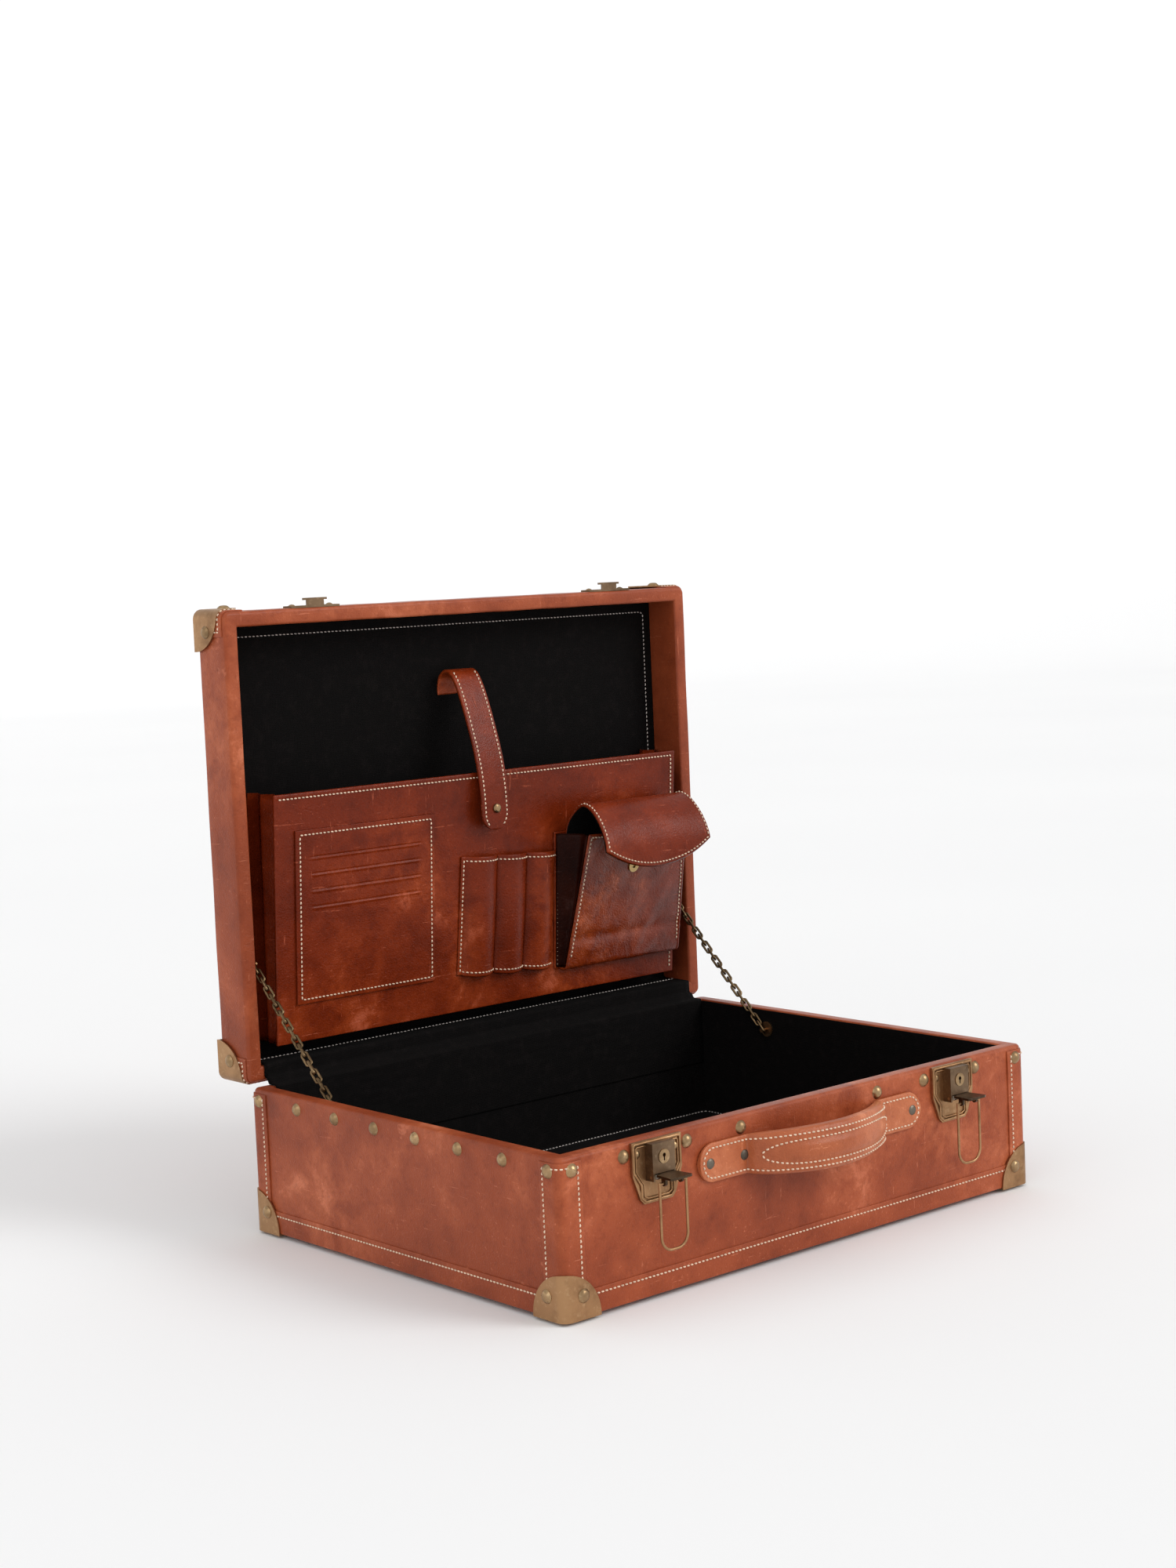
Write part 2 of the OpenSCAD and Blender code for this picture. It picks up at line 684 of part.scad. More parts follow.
module lid_corner_guards() color([0.55, 0.45, 0.28]) for (sx = [-1, 1], sy = [-1, 1])
  on_lid([sx * (case_w / 2 + patch_t), lid_h, case_d / 2 + sy * (case_d / 2 + patch_t)])
    rotate([90, 0, 0]) towards_middle(sx, sy) corner_guard();

module lid_guard_rivets() color([0.6, 0.5, 0.32]) {
  out = patch_t + guard_t;
  in = guard_rivet_in;
  for (sx = [-1, 1]) {
    x = sx * (case_w / 2 - in);
    on_lid([x, lid_h - in, case_d + out]) dome(rivet_r, rivet_h);
    on_lid([x, lid_h - in, -out]) rotate([180, 0, 0]) dome(rivet_r, rivet_h);
    for (up = [in, case_d - in]) {
      on_lid([sx * (case_w / 2 + out), lid_h - in, up]) rotate([0, sx * 90, 0]) dome(rivet_r, rivet_h);
      on_lid([x, lid_h + guard_t, up]) rotate([-90, 0, 0]) dome(rivet_r, rivet_h);
    }
  }
}

// Move to one catch: +X across, -Y away from the rim, +Z out from the lid's front wall, at the lid's rim
module at_catch(side) {
  on_lid([side * (case_w / 2 - latch_x), 0, case_d]) children();
}

module catch_plates() color([0.55, 0.46, 0.3]) for (side = [-1, 1]) at_catch(side) {
  rim_up = rim_z + rim_gap - latch_z;          // closed lid rim, from the foot of the latch plate
  mid = hook_h - rim_up;
  cut = mid + 2;
  wire_out = pin_out - bail_below;             // closed bail, out from the leather
  lip = wire_out + wire_r + 0.35;
  top = 18;
  linear_extrude(plate_t)
    polygon([[-plate_w / 2, 1.5], [plate_w / 2, 1.5], [plate_w / 2, 12], [plate_w / 2 - 7, top],
      [7 - plate_w / 2, top], [-plate_w / 2, 12]]);
  intersection() {
    union() {
      translate([0, mid, 0]) cylinder(h = lip + tiny, r = hook_r);
      translate([0, mid, lip]) cylinder(h = plate_t, r = hook_r + 2.6);
    }
    translate([-plate_w / 2, cut, plate_t - tiny]) cube([plate_w, 40, 40]);
  }
}

module catch_rivets() color([0.5, 0.46, 0.38]) for (side = [-1, 1], s = [-1, 1]) at_catch(side)
  translate([s * (plate_w / 2 - 4.7), 8, plate_t]) dome(rivet_r - 0.6, rivet_h - 0.3);

// ---------- organiser ----------

// Move to the front face of the leaning pocket: +X across, -Y outwards, +Z up along it from its foot
module on_pocket() {
  on_lid([0, pocket_in, pocket_low]) rotate([lean, 0, 0]) children();
}

module document_pocket() color([0.56, 0.22, 0.13])
  on_pocket() translate([-pocket_w / 2, 0, 0]) cube([pocket_w, pocket_t, pocket_h]);

// Side gussets and foot that join the pocket front to the lining
module pocket_gussets() color([0.5, 0.2, 0.12]) {
  back = lid_in - lining_t;
  front = pocket_in + pocket_t / cos(lean);
  top = pocket_h * cos(lean);
  for (s = [-1, 1]) on_lid([s * (pocket_w / 2 - thin_t / 2), 0, pocket_low])
    rotate([90, 0, 90]) linear_extrude(thin_t, center = true)
      polygon([[front, thin_t + 0.05], [back, thin_t + 0.05], [back, top - 12],
        [front - tan(lean) * top, top]]);
  on_lid([-pocket_w / 2, front, pocket_low]) cube([pocket_w, back - front, thin_t]);
}

module card_panel() color([0.54, 0.2, 0.12]) on_pocket() difference() {
  translate([card_x, -card_t, card_low]) cube([card_w, card_t, card_h]);
  for (i = [0 : slits - 1])
    translate([card_x + (card_w - slit_len) / 2, -card_t - 1, card_low + card_h - slit_top - i * slit_pitch])
      cube([slit_len, card_t, slit_w]);
}

// Three arched leather channels in a row, open at both ends
module pen_loops() color([0.54, 0.2, 0.12]) on_pocket()
  translate([pen_x, 0, pen_low]) rotate([0, pen_lean, 0]) for (i = [-1 : 1]) {
    half = pen_w / 2;
    big = (half * half + pen_d * pen_d) / (2 * pen_d);
    translate([(i + 1.5 - 0.5) * pen_w + 3, 0, 0]) linear_extrude(pen_h) intersection() {
      difference() {
        translate([0, big - pen_d]) circle(big);
        translate([0, big - pen_d]) circle(big - thin_t);
      }
      translate([-half, -pen_d - 1]) square([pen_w, pen_d + 1]);
    }
  }

module flap_pocket() color([0.54, 0.2, 0.12])
  on_pocket() translate([flap_x, 0, flap_low]) rotate([90, 0, 90]) difference() {
    linear_extrude(flap_w) polygon([[0, 0], [-flap_foot_d, 0], [-flap_d, flap_h], [0, flap_h]]);
    translate([0, 0, thin_t]) linear_extrude(flap_w - 2 * thin_t)
      polygon([[1, thin_t], [thin_t - flap_foot_d, thin_t], [thin_t - flap_d, flap_h + 1], [1, flap_h + 1]]);
  }

// Ring-shaped half of the magnetic snap on the flap pocket's sloping front
module snap_magnet() color([0.85, 0.72, 0.45]) {
  slope = atan((flap_d - flap_foot_d) / flap_h);
  drop = 32;
  on_pocket() translate([flap_x + flap_w / 2, -flap_d, flap_low + flap_h]) rotate([90 + slope, 0, 0])
    translate([0, -drop, 0]) difference() {
      cylinder(h = 2.2, r = 5);
      translate([0, 0, 1]) cylinder(h = 2, r = 1.8);
    }
}

// Flap seen from the side: rises from its fold to a crest, slopes down and hangs
module flap_side() {
  polygon(band(concat(flap_crest, [flap_knee, flap_tip]), flap_t));
}

module pocket_flap() color([0.56, 0.22, 0.13])
  on_pocket() translate([flap_x + flap_w / 2, 0, flap_hinge]) intersection() {
    half = flap_w / 2 - flap_in;
    rotate([90, 0, 90]) mirror([1, 0, 0]) linear_extrude(2 * half, center = true) flap_side();
    rotate([90, 0, 0]) linear_extrude(80) polygon([[-half, 30], [-half, flap_knee[1]],
      [-half * 0.5, flap_tip[1] + 6], [-half * 0.2, flap_tip[1] + 1.5], [half * 0.2, flap_tip[1] + 1.5],
      [half * 0.5, flap_tip[1] + 6], [half, flap_knee[1]], [half, 30]]);
  }

// Plate of the magnetic snap on the inner side of the hanging end of the flap
module flap_keeper() color([0.85, 0.72, 0.45])
  on_pocket() translate([flap_x + flap_w / 2, 0, flap_hinge]) {
    run = flap_tip - flap_knee;
    seat = (flap_knee + flap_tip) / 2 + flap_t / 2 * [run[1], -run[0]] / norm(run);
    translate([0, -seat[0], seat[1]]) rotate([atan2(run[1], -run[0]), 0, 0]) cylinder(h = 1.5, r = 5);
  }

// Middle of the strap, as distance behind the rim and height: an arch over a point in front of its
// sewn end, then a straight run past the pocket's mouth and down along the pocket front
function strap_arch(a) = strap_sewn + strap_arch_r * [cos(a) - 1, sin(a)];

function strap_line() = let(
    mouth = [-pocket_lean - strap_off, pocket_low + pocket_h * cos(lean)],
    foot = mouth + (pocket_h - snap_up) * [sin(lean), -cos(lean)]
  ) concat([for (i = [0 : 6]) strap_arch(strap_free + (strap_turn - strap_free) * i / 6)],
    [mouth + [0.6, 4], mouth - [0, 1], foot]);

function strap_root_line() =
  concat([strap_sewn - [0, 4]], [for (a = [0 : 10 : strap_split]) strap_arch(a)]);

// Closed band of one thickness along a line of points
function band(line, t) = let(n = len(line) - 1,
    side = [for (i = [0 : n]) let(v = line[min(i + 1, n)] - line[max(i - 1, 0)])
      t / 2 * [v[1], -v[0]] / norm(v)]
  ) concat([for (i = [0 : n]) line[i] + side[i]], [for (i = [n : -1 : 0]) line[i] - side[i]]);

module strap_root() color([0.56, 0.22, 0.13])
  on_lid([0, 0, 0]) rotate([90, 0, 90]) linear_extrude(strap_w, center = true)
    polygon(band(strap_root_line(), flap_t));

module file_strap() color([0.56, 0.22, 0.13]) {
  on_lid([0, 0, 0]) rotate([90, 0, 90]) linear_extrude(strap_w, center = true)
    polygon(band(strap_line(), flap_t));
  on_pocket() translate([0, flap_t / 2 - strap_off, snap_up]) rotate([90, 0, 0])
    cylinder(h = flap_t, r = strap_w / 2);
}

module snap_post() color([0.7, 0.62, 0.45])
  on_pocket() translate([0, 0, snap_up + 2]) rotate([90, 0, 0])
    cylinder(h = strap_off - flap_t / 2 - gap, r = snap_r - 0.5);

module strap_snap_cap() color([0.8, 0.7, 0.5])
  on_pocket() translate([0, -strap_off - flap_t / 2, snap_up + 2]) rotate([90, 0, 0]) dome(snap_r, 1.8, 0);

// ---------- pieces by node ----------

framed() base_bottom_panel();
framed() base_board(0, -1);  // base_front_board
framed() base_board(0, 1);  // base_rear_board
framed() base_board(-1, 0);  // base_left_board
framed() base_board(1, 0);  // base_right_board
framed() base_leather_cover();
framed() base_lining();
framed() base_floor_pad();
framed() base_bottom_band();
framed() base_edge_patches();
framed() base_corner_guards();
framed() base_guard_rivets();
framed() base_rim_studs();
framed() feet();
framed() handle_grip();
framed() handle_rivets();
framed() latch_plates();
framed() lock_housings();
framed() latch_rivets();
framed() lever_pins();
framed() lever_springs();
framed() lock_cylinder(-1);  // left_lock_cylinder
framed() lock_cylinder(1);  // right_lock_cylinder
framed() latch_lever(-1);  // left_latch_lever
framed() latch_lever(1);  // right_latch_lever
framed() wire_bail(-1);  // left_wire_bail
framed() wire_bail(1);  // right_wire_bail
framed() hinge_base_leaf();
framed() hinge_lid_leaf();
framed() hinge_pin();
framed() base_chain_anchors();
framed() lid_chain_anchors();
framed() chain_part(-1, 0, low_links - 1);  // left_chain_low
framed() chain_part(1, 0, low_links - 1);  // right_chain_low
framed() chain_part(-1, low_links, links - 1);  // left_chain_high
framed() chain_part(1, low_links, links - 1);  // right_chain_high
framed() lid_panel();
framed() lid_board(0, 1);  // lid_front_board
framed() lid_board(0, -1);  // lid_rear_board
framed() lid_board(-1, 0);  // lid_left_board
framed() lid_board(1, 0);  // lid_right_board
framed() lid_leather_cover();
framed() lid_lining();
framed() lid_edge_patches();
framed() lid_corner_guards();
framed() lid_guard_rivets();
framed() catch_plates();
framed() catch_rivets();
framed() document_pocket();
framed() pocket_gussets();
framed() card_panel();
framed() pen_loops();
framed() flap_pocket();
framed() snap_magnet();
framed() snap_post();
framed() pocket_flap();
framed() flap_keeper();
framed() strap_root();
framed() file_strap();
framed() strap_snap_cap();
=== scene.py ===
"""A hard-sided leather attache case, open on its chain stays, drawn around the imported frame.

Shapes are worked out in millimetres and put into metres when a piece is made.
"""
import json
import math

import bpy
import numpy as np
from mathutils import Matrix, Vector


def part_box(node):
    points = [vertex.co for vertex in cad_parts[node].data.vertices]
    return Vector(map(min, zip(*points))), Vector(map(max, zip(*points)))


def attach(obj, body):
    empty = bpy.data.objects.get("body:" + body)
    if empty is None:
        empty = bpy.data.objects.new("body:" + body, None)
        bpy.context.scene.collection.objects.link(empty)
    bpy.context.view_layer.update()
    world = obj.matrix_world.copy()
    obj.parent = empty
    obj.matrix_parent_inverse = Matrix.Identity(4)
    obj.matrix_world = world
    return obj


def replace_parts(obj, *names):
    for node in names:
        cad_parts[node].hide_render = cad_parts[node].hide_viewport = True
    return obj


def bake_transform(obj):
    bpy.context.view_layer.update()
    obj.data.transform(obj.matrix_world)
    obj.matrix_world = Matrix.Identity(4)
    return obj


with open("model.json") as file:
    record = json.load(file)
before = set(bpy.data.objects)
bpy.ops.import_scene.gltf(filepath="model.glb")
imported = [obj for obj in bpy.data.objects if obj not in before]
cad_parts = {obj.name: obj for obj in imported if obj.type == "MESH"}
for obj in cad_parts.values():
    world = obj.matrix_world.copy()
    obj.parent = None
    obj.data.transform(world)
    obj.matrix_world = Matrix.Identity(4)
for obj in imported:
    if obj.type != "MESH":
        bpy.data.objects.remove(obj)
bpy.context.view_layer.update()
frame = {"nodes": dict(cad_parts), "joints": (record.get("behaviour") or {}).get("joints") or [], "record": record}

MM = 0.001
SIDES = ((-1, "left"), (1, "right"))


def box_mm(node):
    """Lowest and highest corner of a frame node, in millimetres."""
    low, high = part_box(node)
    return np.array(low) / MM, np.array(high) / MM


# ---------------------------------------------------------------- driving places and sizes
BASE_LO, BASE_HI = box_mm("base_leather_cover")
LID_LO, LID_HI = box_mm("lid_leather_cover")
HALF_X = (BASE_HI[0] - BASE_LO[0]) / 2           # half width of the case
HALF_Y = (BASE_HI[1] - BASE_LO[1]) / 2           # half depth of the case
MID_Y = (BASE_HI[1] + BASE_LO[1]) / 2            # middle of the base, front to back
RIM_Z = BASE_HI[2]                               # top of the base's wall
UNDER_Z = BASE_LO[2]                             # leather on the underside
BASE_DEEP = RIM_Z - UNDER_Z
LID_RIM_Y = LID_LO[1]                            # rim plane of the open lid
LID_MID_Z = (LID_HI[2] + LID_LO[2]) / 2
LID_DEEP = LID_HI[1] - LID_LO[1]
CORNER = 5.0                                     # radius of the upright corners
WALL = 11.0                                      # leather, board and lining together
LEATHER = 1.5
FRONT_Y = BASE_LO[1]
THREAD_R = 0.60                                  # radius of the sewing thread
PITCH = 3.3                                      # from one stitch to the next
STITCH = 2.3                                     # length of a stitch


# ---------------------------------------------------------------- mesh helpers
def quads(rows, cols, loop_rows=False, loop_cols=False):
    """Corner numbers of the quads of a rows x cols grid, which may close on itself either way."""
    r = np.arange(rows if loop_rows else rows - 1)
    c = np.arange(cols if loop_cols else cols - 1)
    r, c = (a.ravel() for a in np.meshgrid(r, c, indexing="ij"))
    r1, c1 = (r + 1) % rows, (c + 1) % cols
    return np.stack([r * cols + c, r * cols + c1, r1 * cols + c1, r1 * cols + c], axis=1)


def volume_of(points, faces):
    """Signed volume under a set of polygons, from fans of triangles about each first corner."""
    total = 0.0
    for f in faces:
        for k in range(1, f.shape[1] - 1):
            a, b, c = points[f[:, 0]], points[f[:, k]], points[f[:, k + 1]]
            total += float(np.einsum("ij,ij->i", a, np.cross(b, c)).sum())
    return total / 6


def make(name, points, faces, body, slot, material=None, closed=True):
    """A mesh piece from points in millimetres and groups of faces, riding on a body. It takes its
    slot's material if none is given."""
    points = np.asarray(points, float).reshape(-1, 3)
    faces = [np.atleast_2d(f) for f in faces]
    if closed and volume_of(points, faces) < 0:
        faces = [f[:, ::-1] for f in faces]
    mesh = bpy.data.meshes.new(name)
    mesh.from_pydata((points * MM).tolist(), [], [q for f in faces for q in f.tolist()])
    mesh.validate()
    mesh.polygons.foreach_set("use_smooth", [True] * len(mesh.polygons))
    piece = bpy.data.objects.new(name, mesh)
    bpy.context.scene.collection.objects.link(piece)
    mesh.materials.append(material or BY_SLOT[slot])
    if body:
        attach(piece, body)
    return piece


def unit(v):
    """The vectors along the last axis, each made one long."""
    return v / np.linalg.norm(v, axis=-1, keepdims=True).clip(1e-9)


def normals_of(skin):
    """Unit normals of a grid of points: the cross product of its two slopes."""
    return unit(np.cross(np.gradient(skin, axis=0), np.gradient(skin, axis=1)))


def distance_along(line):
    """How far each point of a line lies from its start, measured along it."""
    return np.concatenate([[0], np.cumsum(np.linalg.norm(np.diff(line, axis=0), axis=1))])


def bead(x, width):
    """A soft ridge one high: exp(-(x / width)^2)."""
    return np.exp(-(x / width) ** 2)


def turns(n):
    """n equal angles round a circle."""
    return np.linspace(0, 2 * math.pi, n + 1)[:-1]


def joint_at(name):
    """A joint's place, in metres."""
    return np.array(next(j for j in frame["joints"] if j["name"] == name)["pos_m"])


def fillet(corners, radii, steps=5, longest=9.0, closed=False):
    """A polyline through corners with each corner rounded by an arc, and long runs divided."""
    corners = np.asarray(corners, float)
    n = len(corners)
    out = []
    for i in range(n):
        p = corners[i]
        r = radii[i] if isinstance(radii, (list, tuple)) else radii
        if r <= 0 or (not closed and i in (0, n - 1)):
            out.append(p[None])
            continue
        a, b = corners[i - 1] - p, corners[(i + 1) % n] - p
        la, lb = np.linalg.norm(a), np.linalg.norm(b)
        a, b = a / la, b / lb
        half = math.acos(np.clip(a @ b, -1, 1)) / 2
        run = min(r / math.tan(half), la * 0.48, lb * 0.48)
        r = run * math.tan(half)
        mid = p + (a + b) / np.linalg.norm(a + b) * (r / math.sin(half))
        start, end = p + a * run - mid, p + b * run - mid
        sweep = math.pi - 2 * half
        t = np.linspace(0, 1, steps)[:, None]
        out.append(mid + (start * np.sin((1 - t) * sweep) + end * np.sin(t * sweep)) / math.sin(sweep))
    line = np.concatenate(out)
    if closed:
        line = np.concatenate([line, line[:1]])
    pieces = []
    for a, b in zip(line[:-1], line[1:]):
        k = max(1, int(math.ceil(np.linalg.norm(b - a) / longest)))
        pieces.append(a + (b - a) * np.arange(k)[:, None] / k)
    if not closed:
        pieces.append(line[-1:])
    return np.concatenate(pieces)


def rounded_loop(a, b, radius, **how):
    """A rounded rectangle that reaches a and b from its middle, back to its first point."""
    line = fillet([(-a, -b), (a, -b), (a, b), (-a, b)], radius, closed=True, **how)
    return np.concatenate([line, line[:1]])


def ripple(points, size, amount, seed=0):
    """A smooth wander of the surface: a sum of six plane waves about size long, times amount."""
    rng = np.random.default_rng(seed)
    ways = unit(rng.normal(size=(6, 3)))
    phase = rng.uniform(0, 2 * math.pi, 6)
    scale = rng.uniform(0.7, 1.6, 6) * 2 * math.pi / size
    return amount * np.sin(points @ (ways * scale[:, None]).T + phase).mean(axis=-1)


# ---------------------------------------------------------------- where walls and the pocket lie
def in_base(p):
    """Local (x, y, distance below the rim) to the base's place."""
    return np.stack([p[..., 0], p[..., 1] + MID_Y, RIM_Z - p[..., 2]], axis=-1)


def in_lid(p):
    """Local (x, height about the lid's middle, distance behind the rim) to the lid's place."""
    return np.stack([p[..., 0], LID_RIM_Y + p[..., 2], LID_MID_Z + p[..., 1]], axis=-1)


def ring(inset, side_steps=40, corner_steps=7):
    """Rounded rectangles of the case's outline, one for each inset, as rows of (x, y)."""
    inset = np.asarray(inset, float)[:, None]
    r = np.maximum(CORNER - inset, 0.4)
    cx, cy = HALF_X - inset - r, HALF_Y - inset - r
    turn = np.linspace(0, math.pi / 2, corner_steps)[None]
    arcs = []
    for k, (sx, sy) in enumerate(((1, 1), (-1, 1), (-1, -1), (1, -1))):
        a = turn + k * math.pi / 2
        arcs.append(np.stack([sx * cx + r * np.cos(a), sy * cy + r * np.sin(a)], axis=-1))
    share = (np.arange(1, side_steps) / side_steps)[None, :, None]
    rows = []
    for k in range(4):
        a, b = arcs[k][:, -1:], arcs[(k + 1) % 4][:, :1]
        rows += [arcs[k], a + (b - a) * share]
    return np.concatenate(rows, axis=1)


def swept(name, profile, place, body, slot, wander, looped=False):
    """A profile of (inset, depth) points carried round the case's outline."""
    profile = np.asarray(profile, float)
    plan = ring(profile[:, 0])
    rows, cols = plan.shape[:2]
    local = np.concatenate([plan, np.broadcast_to(profile[:, None, 1:], (rows, cols, 1))], axis=-1)
    local[..., :2] += unit(plan) * ripple(local, 70.0, wander)[..., None]
    faces = [quads(rows, cols, loop_rows=looped, loop_cols=True)]
    if not looped:
        faces += [np.arange(cols)[None, ::-1], (rows - 1) * cols + np.arange(cols)[None]]
    return make(name, place(local), faces, body, slot)


def pillow(u, v, power=10.0):
    """Height of a flat pad with rounded borders: (1 - |u|^n)(1 - |v|^n), to the power 1 / n."""
    return ((1 - np.abs(u) ** power) * (1 - np.abs(v) ** power)).clip(0) ** (1 / power)


def two_skins(name, upper, lower, body, slot, material=None):
    """A closed piece of two grids of points that share the upper grid's border."""
    rows, cols = upper.shape[:2]
    n = rows * cols
    index = np.arange(n).reshape(rows, cols)
    edge = np.zeros((rows, cols), bool)
    edge[[0, -1]] = True
    edge[:, [0, -1]] = True
    top = quads(rows, cols)
    low = np.where(edge, index, index + n).ravel()[top][:, ::-1]
    points = np.concatenate([upper.reshape(-1, 3), lower.reshape(-1, 3)])
    used = np.unique(np.concatenate([top.ravel(), low.ravel()]))
    renumber = np.zeros(2 * n, int)
    renumber[used] = np.arange(len(used))
    return make(name, points[used], [renumber[top], renumber[low]], body, slot, material)


def slab(name, place, deep, body, slot, rows, cols, power, under=0.0):
    """A pad on a surface. place(u, v, lift) gives points for u and v from -1 to 1; the upper
    skin is lifted by deep times pillow(u, v) and the lower skin lies at the height under."""
    s = np.sin(np.linspace(-1, 1, rows) * math.pi / 2)
    t = np.sin(np.linspace(-1, 1, cols) * math.pi / 2)
    u, v = np.meshgrid(s, t, indexing="ij")
    top = place(u, v, under + (deep - under) * pillow(u, v, power))
    return two_skins(name, top, place(u, v, np.full_like(u, under)), body, slot)


def thick(name, skin, deep, body, slot, material=None, power=40.0, lift=0.0):
    """A sheet with a wall: each point of the skin, moved both ways along the surface's own normal
    by half of deep times pillow(u, v), so that its borders are rounded and shared by both sides."""
    out = normals_of(skin)
    u, v = np.meshgrid(*(np.linspace(-1, 1, n) for n in skin.shape[:2]), indexing="ij")
    half = deep / 2 * pillow(u, v, power)[..., None]
    return two_skins(name, skin + out * (half + lift), skin + out * (lift - half), body, slot, material)


def even(n, crowd=1.0):
    """n places from -1 to 1, crowded towards both ends by crowd from 0 to 1."""
    t = np.linspace(-1, 1, n)
    return t * (1 - crowd) + np.sin(t * math.pi / 2) * crowd


def spline(points, steps=12):
    """A smooth curve through the points: cubic pieces whose slopes join neighbours' chords."""
    p = np.asarray(points, float)
    q = np.concatenate([2 * p[:1] - p[1:2], p, 2 * p[-1:] - p[-2:-1]])
    t = np.linspace(0, 1, steps, endpoint=False)[None, :, None]
    a, b, c, d = q[:-3, None], q[1:-2, None], q[2:-1, None], q[3:, None]
    curve = (b + (c - a) / 2 * t + (a - 2.5 * b + 2 * c - d / 2) * t ** 2
             + (1.5 * (b - c) + (d - a) / 2) * t ** 3)
    return np.concatenate([curve.reshape(-1, p.shape[1]), p[-1:]])


def resampled(line, n):
    """n places at equal steps of length along a line."""
    run = distance_along(line)
    s = np.linspace(0, run[-1], n)
    return np.stack([np.interp(s, run, line[:, i]) for i in range(line.shape[1])], axis=1)


# ---------------------------------------------------------------- shader helpers
class Value:
    """A shader socket that takes part in sums, so that masks are written as formulas."""

    def __init__(self, finish, socket):
        self.finish = finish
        self.socket = socket

    def _sum(self, operation, a, b=0.0):
        return self.finish.add("ShaderNodeMath", {"operation": operation}, {0: a, 1: b})

    def __add__(self, other):
        return self._sum("ADD", self, other)

    __radd__ = __add__

    def __sub__(self, other):
        return self._sum("SUBTRACT", self, other)

    def __rsub__(self, other):
        return self._sum("SUBTRACT", other, self)

    def __mul__(self, other):
        return self._sum("MULTIPLY", self, other)

    __rmul__ = __mul__

    def above(self, low, high):
        """0 below low, 1 above high, and smooth between."""
        return self.finish.add("ShaderNodeMapRange", {"interpolation_type": "SMOOTHSTEP"},
                               {"Value": self, "From Min": low, "From Max": high})


class Finish:
    """One procedural material and the nodes that make it."""

    def __init__(self, name, metallic=0.0, roughness=0.5, **constants):
        self.material = bpy.data.materials.new(name)
        self.material.use_nodes = True
        self.tree = self.material.node_tree
        self.shader = self.tree.nodes["Principled BSDF"]
        self.shader.inputs["Metallic"].default_value = metallic
        self.shader.inputs["Roughness"].default_value = roughness
        for socket, value in constants.items():
            self.shader.inputs[socket.replace("_", " ")].default_value = value
        self.at = self.add("ShaderNodeTexCoord", {}, {}, "Object")

    def add(self, kind, settings, inputs, output=0):
        """Any node: its settings first, then the values or links of its sockets."""
        node = self.tree.nodes.new(kind)
        for key, value in settings.items():
            if key == "stops":
                ramp = node.color_ramp
                while len(ramp.elements) < len(value):
                    ramp.elements.new(0.5)
                for element, (place, colour) in zip(ramp.elements, value):
                    element.position = place
                    element.color = (*colour, 1)
            else:
                setattr(node, key, value)
        for key, value in inputs.items():
            if isinstance(value, Value):
                self.tree.links.new(value.socket, node.inputs[key])
            else:
                node.inputs[key].default_value = value
        return Value(self, node.outputs[output])

    def stretched(self, scale, turn=(0, 0, 0)):
        return self.add("ShaderNodeMapping", {}, {"Vector": self.at, "Scale": scale, "Rotation": turn})

    def noise(self, scale, detail=3.0, rough=0.5, warp=0.0, at=None):
        return self.add("ShaderNodeTexNoise", {}, {"Vector": at or self.at, "Scale": scale,
                        "Detail": detail, "Roughness": rough, "Distortion": warp})

    def cells(self, scale, feature="DISTANCE_TO_EDGE", at=None):
        return self.add("ShaderNodeTexVoronoi", {"feature": feature},
                        {"Vector": at or self.at, "Scale": scale}, "Distance")

    def mix(self, share, a, b):
        """Colour a where share is 0, colour b where it is 1."""
        colours = {6: a if isinstance(a, Value) else (*a, 1), 7: b if isinstance(b, Value) else (*b, 1)}
        return self.add("ShaderNodeMix", {"data_type": "RGBA"}, {0: share, **colours}, 2)

    def to(self, socket, value):
        self.tree.links.new(value.socket, self.shader.inputs[socket])

    def bump(self, height, distance, strength=1.0):
        self.to("Normal", self.add("ShaderNodeBump", {}, {"Height": height, "Distance": distance,
                                                          "Strength": strength}))


